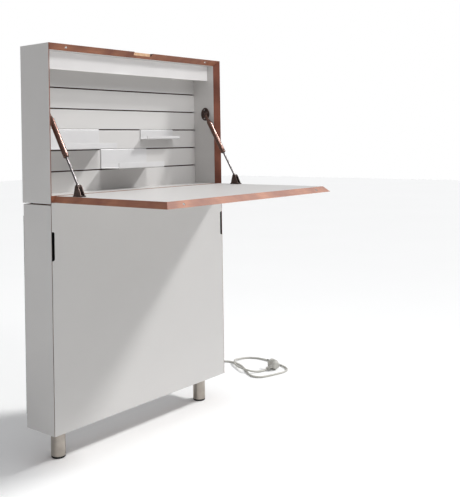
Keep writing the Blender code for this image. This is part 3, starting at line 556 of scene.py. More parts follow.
def tunnel(rings: list[list[tuple[float, float, float]]]) -> bmesh.types.BMesh:
    """Walls in the space between two outlines of as many points, and closes both ends."""
    shape = bmesh.new()
    rows = [[shape.verts.new(point) for point in ring] for ring in rings]
    for i in range(len(rows[0])):
        j = (i + 1) % len(rows[0])
        shape.faces.new((rows[0][i], rows[0][j], rows[1][j], rows[1][i]))
    shape.faces.new(rows[0])
    shape.faces.new(rows[1])
    return shape


def node_centre(node: str) -> Vector:
    """Gives the middle of a CAD node's box."""
    low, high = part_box(node)
    return (low + high) / 2


@dataclass
class Catch:
    """A round magnet or strike in a mitre, with its pocket."""

    node: str
    body: str
    out: Vector
    radius: float = 3.5 * MM
    length: float = 5 * MM
    fit: float = 0.3 * MM

    def pocket(self) -> Tool:
        """Gives the tool that bores the pocket."""
        middle = node_centre(self.node)
        back, front = -self.length / 2 - self.fit, 4 * self.length
        profile = [(0, front), (self.radius + self.fit, front), (self.radius + self.fit, back), (0, back)]
        return moved(lathe(profile, 32), aim(middle, self.out)), ROUTED_CORE_AND_NOTCH_SHADE.along()

    def build(self) -> None:
        """Turns the disc with its chamfered face."""
        half, edge = self.length / 2, 0.5 * MM
        profile = [(0, half), (self.radius - edge, half), (self.radius, half - edge), (self.radius, -half)]
        shape = moved(lathe([*profile, (0, -half)], 40), aim(node_centre(self.node), self.out))
        piece(
            f"{self.node}_disc", shape, [BRIGHT_NICKEL.along()], self.body, [self.node], 40
        )


# ---------------------------------------------------------------- the carcass


@dataclass
class Carcass:
    """The upper carcass: mitred top and sides, floor and grooved back."""

    body: str = "carcass"
    notch_depth: float = 9 * MM
    notch_width: float = 77 * MM
    groove_first: float = 776 * MM
    groove_pitch: float = 59 * MM
    groove_count: int = 5
    groove_height: float = 3.5 * MM
    groove_depth: float = 7 * MM

    def notch(self) -> list[Tool]:
        """Gives the tools for the finger notch in the top's front edge."""
        low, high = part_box("top_panel")
        half, radius = self.notch_width / 2, self.notch_depth / 2
        deep, tall = 40 * MM, 30 * MM
        front, rear = low.y - deep, low.y + self.notch_depth
        outline = soften([(-half, front), (-half, rear), (half, rear), (half, front)], radius * 1.6, steps=8)
        shape = tunnel([[(x, y, z) for x, y in outline] for z in (low.z - tall, high.z + tall)])
        for wall in shape.faces:
            # The notch's rounded ends get the dark core finish as painted shade.
            wall.material_index = int(abs(wall.calc_center_median().x) > half - radius)
        return [(shape, [BEECH.along(Axis.X), ROUTED_CORE_AND_NOTCH_SHADE.along(Axis.Z)])]

    def back(self) -> None:
        """Makes the back panel with its routed grooves and the hole behind the socket."""
        low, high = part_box("back_panel")
        cuts, past = [], 5 * MM
        for number in range(self.groove_count):
            z = self.groove_first + number * self.groove_pitch
            half = self.groove_height / 2
            rear = low.y + self.groove_depth
            groove = block((low.x - MM, low.y - past, z - half), (high.x + MM, rear, z + half))
            cuts.append((groove, ROUTED_CORE_AND_NOTCH_SHADE.along()))
        socket_low, socket_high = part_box("socket_unit")
        x = (socket_low.x + socket_high.x) / 2
        width, foot = 21 * MM, socket_low.z + 6 * MM
        hole = block((x - width, low.y - past, foot), (x + width, high.y + past, high.z + past))
        cuts.append((hole, ROUTED_CORE_AND_NOTCH_SHADE.along()))
        Board("back_panel", self.body, Axis.Y, edge=ROUTED_CORE_AND_NOTCH_SHADE, cuts=cuts).build()

    def build(self) -> None:
        """Builds the carcass."""
        slope = Vector((0, -1, -1)).normalized()
        magnets = [Catch(f"catch_magnet_{side}", self.body, slope) for side, _ in SIDES]
        cuts = [*self.notch(), *[magnet.pocket() for magnet in magnets]]
        mitres = ((Axis.X, -1), (Axis.X, 1), (Axis.Y, -1))
        Board("top_panel", self.body, Axis.Z, inner=-1, mitres=mitres, cuts=cuts).build()
        for magnet in magnets:
            magnet.build()
        for side, sign in SIDES:
            edges = ((Axis.Y, -1), (Axis.Z, 1))
            # The side panels' edges get the darker walnut as painted shade.
            Board(f"side_panel_{side}", self.body, Axis.X, Axis.Z, -sign, edges, edge=WALNUT_PAINTED_SHADE).build()
        Board("floor_panel", self.body, Axis.Z).build()
        self.back()


@dataclass
class LampBox:
    """The valance, painted brighter as painted light, the strip lamp behind it and the socket at its right
    end.
    """

    body: str = "carcass"
    recess_radius: float = 19.7 * MM
    flutes: int = 2

    def lamp(self) -> None:
        """Makes the ribbed lamp housing, its end caps and the opal diffuser."""
        low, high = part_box("lamp_housing")
        rib, pitch, cap_width = 0.5 * MM, 4 * MM, 2 * MM
        outline = [(low.y, high.z), (low.y, low.z), (high.y, low.z), (high.y, high.z)]
        outline = soften(outline, 1.5 * MM, closed=True)
        left, right = low.x + cap_width, high.x - cap_width
        shape = prism(outline, left, right)
        finish = [ANODISED.along()]
        made = piece("lamp_extrusion", shape, finish, self.body, ["lamp_housing"], 30)
        flutes = []
        for number in range(self.flutes):
            z = low.z + (number + 2) * pitch
            flute = block((low.x, low.y - rib, z), (high.x, low.y + rib, z + rib * 2))
            flutes.append((flute, ANODISED.along()))
        carve(made, *flutes)
        LOG.info("lamp with %d flutes", self.flutes)
        for name, start, end in (("left", low.x, left), ("right", right, high.x)):
            cap = prism(outline, start, end)
            arris(piece(f"lamp_cap_{name}", cap, [WHITE_ABS.along()], self.body))
        low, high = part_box("lamp_diffuser")
        bow = [(low.y, high.z), (low.y, low.z), (high.y, low.z), (high.y, high.z)]
        shape = prism(soften(bow, 4 * MM, closed=True), low.x, high.x)
        piece("lamp_lens", shape, [OPAL.along()], self.body, ["lamp_diffuser"], 30)

    def socket(self) -> None:
        """Dresses the socket's housing and adds its bezel and earth clips."""
        dress("socket_unit", WHITE_ABS.along())
        arris(frame["nodes"]["socket_unit"], 1.0 * MM)
        low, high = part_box("socket_unit")
        centre = Vector(((low.x + high.x) / 2, low.y + 25 * MM, low.z))
        inner, outer = self.recess_radius - 0.7 * MM, self.recess_radius + 2.6 * MM
        deep = 10 * MM
        profile = [(inner, deep), (inner, -0.4 * MM), (inner + MM, -MM), (outer - 0.5 * MM, -MM)]
        profile += [(outer, 0), (self.recess_radius, 0), (self.recess_radius, deep)]
        bezel = lathe(profile, 72, ring=True)
        bezel = moved(bezel, Matrix.Translation(centre))
        piece("socket_bezel", bezel, [WHITE_ABS.along()], self.body, smooth=40)
        for name, sign in SIDES:
            y = centre.y + sign * (self.recess_radius - 1.6 * MM)
            start = (centre.x - 2 * MM, y - 0.5 * MM, low.z + 2 * MM)
            end = (centre.x + 2 * MM, y + 0.5 * MM, low.z + 15 * MM)
            clip = block(start, end)
            arris(piece(f"earth_clip_{name}", clip, [BRIGHT_NICKEL.along()], self.body))

    def build(self) -> None:
        """Builds the lamp box."""
        # The valance's brighter white is painted light.
        Board("light_valance", self.body, Axis.Y, face=VALANCE_PAINTED_LIGHT, edge=VALANCE_PAINTED_LIGHT).build()
        self.lamp()
        self.socket()


# ---------------------------------------------------------------- the flap


@dataclass
class Flap:
    """The writing flap, its strikes and its continuous hinge."""

    body: str = "flap"
    screw_pitch: float = 76 * MM

    def build(self) -> None:
        """Builds the flap and screws its hinge on."""
        slope = Vector((0, -1, 1)).normalized()
        strikes = [Catch(f"strike_plate_{side}", self.body, slope) for side, _ in SIDES]
        mitres = ((Axis.X, -1), (Axis.X, 1), (Axis.Y, -1))
        cuts = [strike.pocket() for strike in strikes]
        Board("flap_panel", self.body, Axis.Z, inner=1, mitres=mitres, cuts=cuts).build()
        for strike in strikes:
            strike.build()
        for node in ("flap_hinge_fixed_leaf", "flap_hinge_moving_leaf", "flap_hinge_pin"):
            dress(node, ZINC.along())
        low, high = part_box("flap_hinge_fixed_leaf")
        moving_low, moving_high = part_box("flap_hinge_moving_leaf")
        count = int((high.x - low.x) / self.screw_pitch) + 1
        for number in range(count):
            x = (number - (count - 1) / 2) * self.screw_pitch
            seat = Vector((x, high.y - 4 * MM, low.z + MM))
            SCREWS.drive(f"hinge_screw_fixed_{number}", seat, Vector((0, 0, 1)), "carcass", 1.9 * MM)
            face = Vector((x, moving_low.y + 0.8 * MM, moving_high.z - 4 * MM))
            SCREWS.drive(f"hinge_screw_moving_{number}", face, Vector((0, 1, 0)), self.body, 1.9 * MM)


@dataclass
class GasStrut:
    """A gas strut: bronze cylinder, ground rod, their eyes, and the brackets at both ends."""

    side: str
    sign: int
    radius: float = 7.75 * MM
    neck: float = 4 * MM
    shoulder: float = 31 * MM
    end: float = 149 * MM
    rod: float = 3 * MM
    bore: float = 3.4 * MM
    eye_radius: float = 7 * MM
    plate: float = 2.5 * MM
    length: float = 238 * MM

    def joint(self, kind: str) -> dict:
        """Finds one of the strut's joints in the frame."""
        return next(j for j in frame["joints"] if j["name"] == f"{self.side}_strut_{kind}")

    def eye(
        self, name: str, at: Vector, radius: float, width: float, hole: float, body: str, slot: str
    ) -> None:
        """Makes a cast eye round a pin that runs along X, with rolled edges."""
        half, edge, lead = width / 2, 1.2 * MM, 0.4 * MM
        profile = [(hole, half - lead), (hole + lead, half), (radius - edge, half), (radius, half - edge)]
        profile += [(r, -h) for r, h in reversed(profile)]
        shape = moved(lathe(profile, 48, ring=True), aim(at, Vector((1, 0, 0))))
        piece(name, shape, [DARK_CASTING_AND_RECESS_SHADE.along()], body, smooth=50)

    def cylinder(self, top: Vector, way: Vector) -> None:
        """Makes the cylinder with its swaged end and crimp."""
        body = f"{self.side}_strut_cylinder"
        r, end = self.radius, self.end
        corners = [
            (0, 5 * MM),
            (self.neck, 5 * MM),
            (self.neck, self.shoulder - 9 * MM),
            (self.neck + 1.4 * MM, self.shoulder - 9 * MM),
            (self.neck + 1.4 * MM, self.shoulder - 4 * MM),
            (r, self.shoulder + 1 * MM),
            (r, end - 9 * MM),
            (r - 0.7 * MM, end - 8 * MM),
            (r - 0.7 * MM, end - 6.5 * MM),
            (r, end - 5.5 * MM),
            (r, end - 2 * MM),
            (r - 1.6 * MM, end),
            (self.bore, end),
            (self.bore, 60 * MM),
            (0, 60 * MM),
        ]
        shape = moved(lathe(soften(corners, 0.9 * MM, steps=3), 64), aim(top, way))
        name = f"strut_tube_{self.side}"
        finish, node = [BRONZE.along(Axis.Z)], f"strut_cylinder_{self.side}"
        piece(name, shape, finish, body, [node], 40)
        inside, lip = end - MM, end + 0.5 * MM
        seal = [(self.bore, inside), (self.bore, lip), (r - 2.6 * MM, lip), (r - 2.2 * MM, inside)]
        seal = moved(lathe(seal, 48, ring=True), aim(top, way))
        piece(f"strut_seal_{self.side}", seal, [RUBBER.along()], body, smooth=40)
        self.eye(f"strut_eye_{self.side}", top, self.eye_radius, 9 * MM, 3.4 * MM, body, "bronze_lacquer")

    def piston_rod(self, top: Vector, way: Vector) -> None:
        """Makes the rod, its end fitting and the cross pin."""
        body = f"{self.side}_strut_rod"
        reach = self.length
        bottom = top + way * reach
        start = self.end - 9 * MM
        thick, tip = self.rod + 1.1 * MM, reach - 4 * MM
        profile = [(0, start), (self.rod, start), (self.rod, reach - 10.4 * MM)]
        profile += [(thick, reach - 9.6 * MM), (thick, tip), (0, tip)]
        shape = moved(lathe(profile, 48), aim(top, way))
        finish, node = [ROD_STEEL.along(Axis.Z)], f"strut_rod_{self.side}"
        piece(f"strut_piston_{self.side}", shape, finish, body, [node], 40)
        pin_radius, half, edge = 2.9 * MM, 5 * MM, 0.4 * MM
        self.eye(f"rod_eye_{self.side}", bottom, 6 * MM, 8 * MM, pin_radius, body, "zinc_plated_steel")
        profile = [(0, half), (pin_radius - edge, half), (pin_radius, half - edge)]
        profile += [(r, -h) for r, h in reversed(profile)]
        pin = moved(lathe(profile, 32), aim(bottom, Vector((1, 0, 0))))
        piece(f"rod_pin_{self.side}", pin, [ZINC.along()], body, smooth=40)

    def wall_bracket(self, top: Vector) -> None:
        """Makes the oval plate with its raised rim, the stud with its collar, and two screws."""
        node = f"strut_wall_bracket_{self.side}"
        low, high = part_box(node)
        wall = low.x if self.sign < 0 else high.x
        inwards = Vector((-self.sign, 0, 0))
        middle = Vector((wall, (low.y + high.y) / 2, (low.z + high.z) / 2))
        height = (high.z - low.z) / 2
        squeeze = (high.y - low.y) / (high.z - low.z)
        t = self.plate
        rim = [(0, t * 0.55), (height - 5 * MM, t * 0.55), (height - 4 * MM, t), (height - 1.5 * MM, t)]
        rim += [(height - 0.4 * MM, t * 0.75), (height, t * 0.3), (height, 0), (0, 0)]
        plate = lathe(rim, 72)
        plate.transform(aim(Vector(), inwards))
        plate.transform(Matrix.Diagonal((1, squeeze, 1, 1)))
        plate.transform(Matrix.Translation(middle))
        piece(f"{node}_plate", plate, [DARK_CASTING_AND_RECESS_SHADE.along()], "carcass", [node], 40)
        reach = abs(top.x - wall)
        stud = [(0, t * 0.4), (7 * MM, t * 0.4), (7 * MM, reach - 5.2 * MM), (6.4 * MM, reach - 4.7 * MM)]
        stud += [(3 * MM, reach - 4.7 * MM), (3 * MM, reach + 5 * MM)]
        stud += [(2.4 * MM, reach + 5.9 * MM), (0, reach + 5.9 * MM)]
        base = Vector((wall, top.y, top.z))
        shape = moved(lathe(stud, 48), aim(base, inwards))
        piece(f"{node}_stud", shape, [DARK_CASTING_AND_RECESS_SHADE.along()], "carcass", smooth=40)
        for number, z in enumerate((14.5 * MM, -14.5 * MM)):
            at = middle + inwards * (t * 0.55) + Vector((0, 4 * MM, z))
            SCREWS.drive(f"wall_plate_screw_{self.side}_{number}", at, inwards, "carcass", 2.6 * MM)

    def flap_bracket(self) -> None:
        """Finishes the casting on the flap and screws it down."""
        node = f"strut_flap_bracket_{self.side}"
        dress(node, DARK_CASTING_AND_RECESS_SHADE.along())
        arris(frame["nodes"][node], 0.5 * MM)
        low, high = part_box(node)
        x = (low.x + high.x) / 2
        for number, y in enumerate((low.y + 6 * MM, high.y - 6 * MM)):
            seat = Vector((x, y, low.z + 3 * MM))
            SCREWS.drive(f"foot_screw_{self.side}_{number}", seat, Vector((0, 0, 1)), "flap", 2.6 * MM)

    def build(self) -> None:
        """Builds the strut."""
        top = Vector(self.joint("swing")["pos_m"])
        way = Vector(self.joint("stroke")["axis"])
        low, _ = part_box(f"strut_rod_{self.side}")
        self.length = (top.z - low.z - 6 * MM) / -way.z
        self.cylinder(top, way)
        self.piston_rod(top, way)
        self.wall_bracket(top)
        self.flap_bracket()
        LOG.info("%s gas strut", self.side)


# ---------------------------------------------------------------- trays


@dataclass
class Tray:
    """A tray folded from sheet steel, hooked into a groove of the back panel."""

    node: str
    lip: float
    sheet: float = 2 * MM
    fold: float = 2.4 * MM

    def build(self) -> None:
        """Folds the sheet."""
        low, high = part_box(self.node)
        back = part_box("back_panel")[0].y - 0.3 * MM
        half = self.sheet / 2
        line = [
            (high.y, high.z - half),
            (back - half, high.z - half),
            (back - half, low.z + half),
            (low.y + half, low.z + half),
            (low.y + half, low.z + self.lip),
        ]
        outline = thicken(soften(line, self.fold, steps=6), self.sheet)
        shape = prism(outline, low.x, high.x)
        finish = [POWDER_COAT.along()]
        made = piece(f"{self.node}_fold", shape, finish, self.node, [self.node], 30)
        arris(made, 0.35 * MM)
        LOG.info("tray %s", self.node)


# ---------------------------------------------------------------- the lower cabinet


@dataclass
class Cabinet:
    """The lower cabinet: fixed front, boards, shelves, stiles, magnets and legs."""

    body: str = "carcass"
    slot_width: float = 9 * MM
    slot: tuple[float, float] = (546 * MM, 622 * MM)
    slot_round: float = 6 * MM

    def front(self) -> None:
        """Makes the fixed front with its two finger slots."""
        low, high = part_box("front_panel")
        cuts = []
        past = 20 * MM
        bottom, top = self.slot
        for _, sign in SIDES:
            edge = high.x if sign > 0 else low.x
            far = edge + sign * past
            near = edge - sign * self.slot_width
            outline = [(far, bottom), (near, bottom), (near, top), (far, top)]
            outline = soften(outline, self.slot_round, steps=8)
            shape = tunnel([[(x, y, z) for x, z in outline] for y in (low.y - past, high.y + past)])
            # The slots' walls are black as painted shade inside the slots.
            cuts.append((shape, BLACK_ABS_AND_SLOT_SHADE.along(Axis.Z)))
        mitres = ((Axis.X, -1), (Axis.X, 1))
        Board("front_panel", self.body, Axis.Y, Axis.Z, 1, mitres, cuts=cuts).build()

    def inside(self) -> None:
        """Makes the boards behind the front."""
        Board("cabinet_top_panel", self.body, Axis.Z).build()
        Board("cabinet_bottom_panel", self.body, Axis.Z).build()
        Board("cabinet_back_panel", self.body, Axis.Y, Axis.Z, edge=ROUTED_CORE_AND_NOTCH_SHADE).build()
        Board("centre_divider", self.body, Axis.X, Axis.Z).build()
        for side, _ in SIDES:
            Board(f"shelf_{side}", self.body, Axis.Z).build()
            Board(f"rear_stile_{side}", self.body, Axis.Y, Axis.Z).build()
            dress(f"door_magnet_{side}", WHITE_ABS.along())
            low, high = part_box(f"door_magnet_{side}")
            sign = 1 if high.x > 0 else -1
            face = max(abs(low.x), abs(high.x)) * sign
            thin, side_gap, end_gap = 0.3 * MM, 3 * MM, 2.5 * MM
            start = (face - thin, low.y + side_gap, low.z + end_gap)
            strip = block(start, (face + thin, high.y - side_gap, high.z - end_gap))
            piece(f"magnet_face_{side}", strip, [BLACK_ABS_AND_SLOT_SHADE.along()], self.body)

    def legs(self) -> None:
        """Turns the legs and their pads."""
        for side, _ in SIDES:
            low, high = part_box(f"leg_{side}")
            centre, radius = (low + high) / 2, (high.x - low.x) / 2
            centre.z = 0
            profile = [(0, high.z), (radius, high.z), (radius, low.z + MM), (radius - MM, low.z), (0, low.z)]
            shape = moved(lathe(soften(profile, 0.6 * MM, steps=3), 96), Matrix.Translation(centre))
            finish = [SATIN_NICKEL.along(Axis.Z)]
            piece(f"leg_tube_{side}", shape, finish, self.body, [f"leg_{side}"], 30)
            low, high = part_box(f"leg_pad_{side}")
            radius = (high.x - low.x) / 2
            profile = [(0, high.z), (radius, high.z), (radius, 1.4 * MM), (radius - 1.4 * MM, 0), (0, 0)]
            shape = moved(lathe(soften(profile, 0.5 * MM, steps=3), 80), Matrix.Translation(centre))
            finish = [RUBBER.along()]
            piece(f"leg_foot_{side}", shape, finish, self.body, [f"leg_pad_{side}"], 30)

    def build(self) -> None:
        """Builds the cabinet."""
        self.front()
        self.inside()
        self.legs()


@dataclass
class SideDoor:
    """A side door with its knuckle recess, a black plate behind its finger slot as painted shade, and its
    continuous hinge.
    """

    side: str
    sign: int
    clear: float = 2.6 * MM
    screw_pitch: float = 88 * MM

    def build(self) -> None:
        """Builds the door and screws its hinge on."""
        body = f"{self.side}_door"
        hinge = next(j for j in frame["joints"] if j["name"] == f"{self.side}_door_hinge")
        axis = Vector(hinge["pos_m"])
        low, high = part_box(f"door_hinge_fixed_leaf_{self.side}")
        xs = sorted((axis.x - self.sign * self.clear, axis.x + self.sign * 20 * MM))
        recess = block((xs[0], axis.y - self.clear, low.z - MM), (xs[1], axis.y + 20 * MM, high.z + MM))
        mitres = ((Axis.Y, -1),)
        cuts = [(recess, ROUTED_CORE_AND_NOTCH_SHADE.along(Axis.Z))]
        Board(f"side_door_{self.side}", body, Axis.X, Axis.Z, -self.sign, mitres, cuts=cuts).build()
        self.slot_shade_plate(body)
        for node in ("fixed_leaf", "moving_leaf", "pin"):
            dress(f"door_hinge_{node}_{self.side}", ZINC.along(Axis.Z))
        count = int((high.z - low.z) / self.screw_pitch) + 1
        middle = (low.z + high.z) / 2
        plate_x = (low.x if self.sign > 0 else high.x) + self.sign * 11 * MM
        rear = axis.y + 1.4 * MM
        for number in range(count):
            seat = Vector((plate_x, rear, middle + (number - (count - 1) / 2) * self.screw_pitch))
            SCREWS.drive(f"door_screw_{self.side}_{number}", seat, Vector((0, 1, 0)), "carcass", 2.0 * MM)
        LOG.info("%s door", self.side)

    def slot_shade_plate(self, body: str) -> None:
        """Lays a thin black plate on the door's mitre behind the finger slot, as painted shade seen through
        the slot.
        """
        low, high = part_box(f"side_door_{self.side}")
        bottom, top = Cabinet.slot
        outer = high.x if self.sign > 0 else low.x
        thin, start, end, spare = 0.45 * MM, 0.8 * MM, 13 * MM, 2 * MM
        corners = [(start, start), (end, end), (end + thin, end - thin), (start + thin, start - thin)]
        outline = [(outer - self.sign * a, low.y + b) for a, b in corners]
        shape = tunnel([[(x, y, z) for x, y in outline] for z in (bottom - spare, top + spare)])
        piece(f"finger_plate_{self.side}", shape, [BLACK_ABS_AND_SLOT_SHADE.along(Axis.Z)], body)


@dataclass
class Hangers:
    """The keyhole plates behind the back panel."""

    body: str = "carcass"

    def build(self) -> None:
        """Dresses the plates and screws them on."""
        for side, _ in SIDES:
            node = f"hanger_plate_{side}"
            dress(node, ZINC.along())
            arris(frame["nodes"][node], 0.4 * MM)
            low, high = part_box(node)
            inset = 7 * MM
            xs, zs = (low.x + inset, high.x - inset), (low.z + inset, high.z - inset)
            for number, (x, z) in enumerate([(x, z) for x in xs for z in zs]):
                at = Vector((x, high.y, z))
                SCREWS.drive(f"hanger_screw_{side}_{number}", at, Vector((0, 1, 0)), self.body, 2.8 * MM)


@dataclass(frozen=True)
class CordRoute:
    """The free cord's route, in millimetres from the front plane's foot, and the step of its curve."""

    points_mm: tuple[tuple[float, float, float], ...]
    step: float = 7 * MM

    def curve_points(self, datum: Vector) -> list[Vector]:
        """Reads points off a centripetal Catmull-Rom curve through the route.

        Args:
            datum: Where the front plane's foot is in the frame.

        Returns:
            Points about a step apart.
        """
        points = [datum + Vector(p) * MM for p in self.points_mm]
        ends = [points[0] * 2 - points[1], *points, points[-1] * 2 - points[-2]]
        fine: list[Vector] = []
        for a, b, c, d in zip(ends, ends[1:], ends[2:], ends[3:]):
            t1 = math.sqrt((b - a).length)
            t2 = t1 + math.sqrt((c - b).length)
            t3 = t2 + math.sqrt((d - c).length)
            parts = max(2, round((c - b).length / self.step))
            for part in range(parts):
                t = t1 + (t2 - t1) * part / parts
                ab = a.lerp(b, t / t1)
                bc = b.lerp(c, (t - t1) / (t2 - t1))
                cd = c.lerp(d, (t - t2) / (t3 - t2))
                abc = ab.lerp(bc, t / t2)
                bcd = bc.lerp(cd, (t - t1) / (t3 - t1))
                fine.append(abc.lerp(bcd, (t - t1) / (t2 - t1)))
        return [*fine, points[-1]]


CORD = CordRoute(
    (
        (284, 115.6, 129.7),
        (284, 116.5, 108),
        (285, 122, 80),
        (288, 136, 50),
        (296, 157, 24),
        (313, 182, 7.5),
        (345, 208, 3.6),
        (410, 240, 3.6),
        (485, 267, 3.6),
        (560, 285, 3.6),
        (625, 289, 3.6),
        (672, 277, 3.6),
        (697, 250, 3.6),
        (700, 215, 3.6),
        (686, 178, 3.6),
        (662, 144, 3.6),
        (637, 114, 3.6),
        (614, 85, 3.6),
        (604, 58, 3.6),
        (614, 35, 3.6),
        (642, 22, 3.6),
        (680, 11, 3.6),
        (716, 4, 3.6),
        (746, 9, 3.6),
        (768, 31, 3.6),
        (784, 67, 3.6),
        (798, 112, 3.6),
        (806, 158, 3.6),
        (800, 198, 3.6),
        (778, 225, 3.8),
        (744, 232, 6),
        (708, 223, 10.8),
        (681, 203, 8),
        (658, 173, 6.5),
        (642, 143, 9.5),
        (634, 120, 11),
        (635, 101, 9.5),
        (648, 85, 6),
        (668, 76, 4.2),
        (687, 69.9, 4),
        (697.9, 66.4, 7.6),
    )
)


@dataclass
class Studio:
    """The camera, the pale floor and the soft light."""

    eye: tuple[float, float, float] = (-1.6494, -1.4449, 0.8507)
    yaw: float = 48.886
    pitch: float = -0.296
    roll: float = -0.886
    lens: float = 55.857
    shift: tuple[float, float] = (0.0925, -0.2043)
    fill_from: tuple[float, float, float] = (0.1, -1.05, 2.0)
    fill_power: float = 10

    def camera(self) -> None:
        """Puts the camera up at its eye point."""
        data = bpy.data.cameras.new("camera")
        data.lens, data.shift_x, data.shift_y = self.lens, *self.shift
        data.clip_start, data.clip_end = 0.05, 60
        made = bpy.data.objects.new("camera", data)
        bpy.context.scene.collection.objects.link(made)
        yaw, pitch, roll = (math.radians(a) for a in (self.yaw, self.pitch, self.roll))
        ahead = Vector(
            (math.sin(yaw) * math.cos(pitch), math.cos(yaw) * math.cos(pitch), math.sin(pitch))
        )
        level = Vector((math.cos(yaw), -math.sin(yaw), 0))
        above = level.cross(ahead)
        right = level * math.cos(roll) + above * math.sin(roll)
        up = above * math.cos(roll) - level * math.sin(roll)
        turn = Matrix((right, up, -ahead)).transposed().to_4x4()
        made.matrix_world = Matrix.Translation(self.eye) @ turn
        bpy.context.scene.camera = made

    def floor(self) -> None:
        """Lays the paper floor."""
        shape = bmesh.new()
        bmesh.ops.create_grid(shape, x_segments=2, y_segments=2, size=14)
        made = piece("floor", shape, [PAPER.along()], None)
        made.location.z = -0.2 * MM

    def light(self) -> None:
        """Lights the desk: a high key from the right, a softbox into the carcass, and a dome."""
        key = bpy.data.lights.new("key", "SUN")
        key.energy, key.angle = 2.4, math.radians(8)
        made = bpy.data.objects.new("key", key)
        made.rotation_euler = Vector((-1.0, 0.62, -1.02)).to_track_quat("-Z", "Y").to_euler()
        bpy.context.scene.collection.objects.link(made)
        fill = bpy.data.lights.new("softbox", "AREA")
        fill.energy, fill.size = self.fill_power, 0.5
        made = bpy.data.objects.new("softbox", fill)
        made.matrix_world = aim(Vector(self.fill_from), Vector(self.fill_from) - Vector((0, 0.2, 0.9)))
        bpy.context.scene.collection.objects.link(made)
        world = bpy.data.worlds.new("dome")
        world.use_nodes = True
        bpy.context.scene.world = world
        tree = world.node_tree
        tree.nodes.clear()
        way = add_node(tree, "ShaderNodeTexCoord").outputs["Generated"]
        height = add_node(tree, "ShaderNodeSeparateXYZ", {0: way}).outputs["Z"]
        glow = add_node(tree, "ShaderNodeMapRange", {0: height, 1: 0.0, 2: 0.9, 3: 0.06, 4: 0.68})
        dome = add_node(
            tree, "ShaderNodeBackground", {"Color": linear("#FBFCFF"), "Strength": glow.outputs[0]}
        )
        paper = add_node(tree, "ShaderNodeBackground", {"Color": linear("#FFFFFF"), "Strength": 1.0})
        seen = add_node(tree, "ShaderNodeLightPath").outputs["Is Camera Ray"]
        both = add_node(tree, "ShaderNodeMixShader", {0: seen, 1: dome.outputs[0], 2: paper.outputs[0]})
        add_node(tree, "ShaderNodeOutputWorld", {0: both.outputs[0]})

    def build(self) -> None:
        """Sets the whole studio up."""
        self.camera()
        self.floor()
        self.light()
        bpy.context.scene.view_settings.view_transform = "Standard"


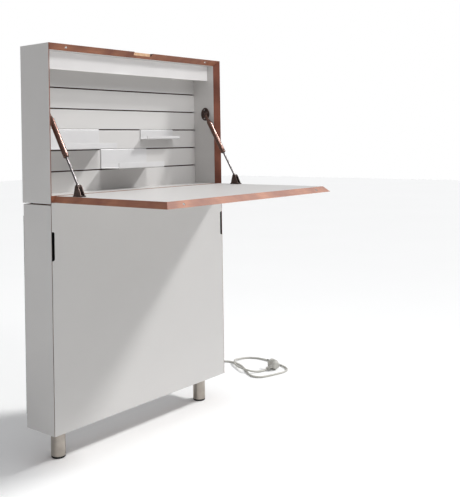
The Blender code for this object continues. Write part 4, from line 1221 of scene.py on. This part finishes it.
@dataclass
class MainsLead:
    """The grey mains lead: gland, free cord, plug and pins."""

    diameter: float = 6.5 * MM
    length: float = 1.5
    plug_at: tuple[float, float] = (731 * MM, 56 * MM)
    plug_radius: float = 18.5 * MM
    plug_heading: float = math.radians(72.5)
    plug_roll: float = math.radians(18)

    def build(self, datum: Vector) -> None:
        """Lays the cord along its route and dresses what is on it."""
        points = CORD.curve_points(datum)
        curve = bpy.data.curves.new("mains_cord", "CURVE")
        curve.dimensions = "3D"
        curve.bevel_depth = self.diameter / 2
        curve.bevel_resolution = 4
        curve.use_fill_caps = True
        spline = curve.splines.new("POLY")
        spline.points.add(len(points) - 1)
        for point, place in zip(spline.points, points):
            point.co = (*place, 1)
        spline.use_smooth = True
        curve.materials.append(PVC.along())
        made = bpy.data.objects.new("mains_cord", curve)
        bpy.context.scene.collection.objects.link(made)
        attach(made, "carcass")
        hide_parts("power_cord")
        for node in ("plug_body", "cord_gland"):
            dress(node, PLUG_PVC.along())
        dress("internal_lead", PVC.along(Axis.Z))
        pins = [frame["nodes"][f"plug_pin_{letter}"] for letter in "ab"]
        for pin in pins:
            dress(pin.name, PIN_NICKEL.along())
        ribs = self.plug_ribs(datum)

    def plug_ribs(self, datum: Vector) -> list[bpy.types.Object]:
        """Moulds the grip ribs round the plug's waist and the rings on its sleeve.

        Args:
            datum: Where the front plane's foot is in the frame.

        Returns:
            The two pieces.
        """
        x, y = self.plug_at
        centre = datum + Vector((x, y, self.plug_radius + 0.3 * MM))
        ahead = Vector((math.cos(self.plug_heading), math.sin(self.plug_heading), 0))
        across = Vector((math.sin(self.plug_heading), -math.cos(self.plug_heading), 0))
        sleeve = -across * math.cos(self.plug_roll) - Vector((0, 0, math.sin(self.plug_roll)))
        turn = Matrix((-sleeve, ahead.cross(-sleeve), ahead)).transposed().to_4x4()
        place = Matrix.Translation(centre) @ turn
        fins = []
        for number in range(18):
            angle = 2 * math.pi * number / 18
            if math.cos(angle) < -0.8:
                continue
            outline = [(14.6, -9.5), (16.6, -7.5), (17.6, 6.5), (17.6, 10), (14.6, 10)]
            fin = prism([(r * MM, z * MM) for r, z in outline], -0.9 * MM, 0.9 * MM)
            fins.append(moved(fin, Matrix.Rotation(angle - math.pi / 2, 4, "Z")))
        grip = piece("plug_grip", moved(together(*fins), place), [PLUG_PVC.along()] * len(fins), "carcass")
        arris(grip, 0.3 * MM)
        start, end = Vector((-8, 0, -3)) * MM, Vector((-35.7, 0, 0)) * MM
        rings = []
        for number in range(4):
            at = start.lerp(end, 0.55 + 0.12 * number)
            wide, half = (7.1 - 0.2 * number) * MM, 0.8 * MM
            band = [(5.4 * MM, half), (wide - 0.3 * MM, half), (wide, half * 0.5), (wide, -half * 0.5)]
            band += [(wide - 0.3 * MM, -half), (5.4 * MM, -half)]
            rings.append(moved(lathe(band, 40, ring=True), aim(at, end - start)))
        relief = piece(
            "plug_sleeve_rings",
            moved(together(*rings), place),
            [PLUG_PVC.along()] * len(rings),
            "carcass",
            smooth=40,
        )
        return [grip, relief]


def main() -> None:
    """Builds the studio and the desk's sub-assemblies in order."""
    logging.basicConfig(level=logging.INFO, format="%(name)s: %(message)s")
    low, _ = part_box("front_panel")
    datum = Vector((0, low.y, 0))
    Studio().build()
    MainsLead().build(datum)
    Carcass().build()
    LampBox().build()
    Flap().build()
    for side, sign in SIDES:
        GasStrut(side, sign).build()
        SideDoor(side, sign).build()
    for node, lip in (("pen_tray", 17 * MM), ("phone_tray", 17 * MM), ("letter_ledge", 10 * MM)):
        Tray(node, lip).build()
    Cabinet().build()
    Hangers().build()


if __name__ == "__main__":
    main()
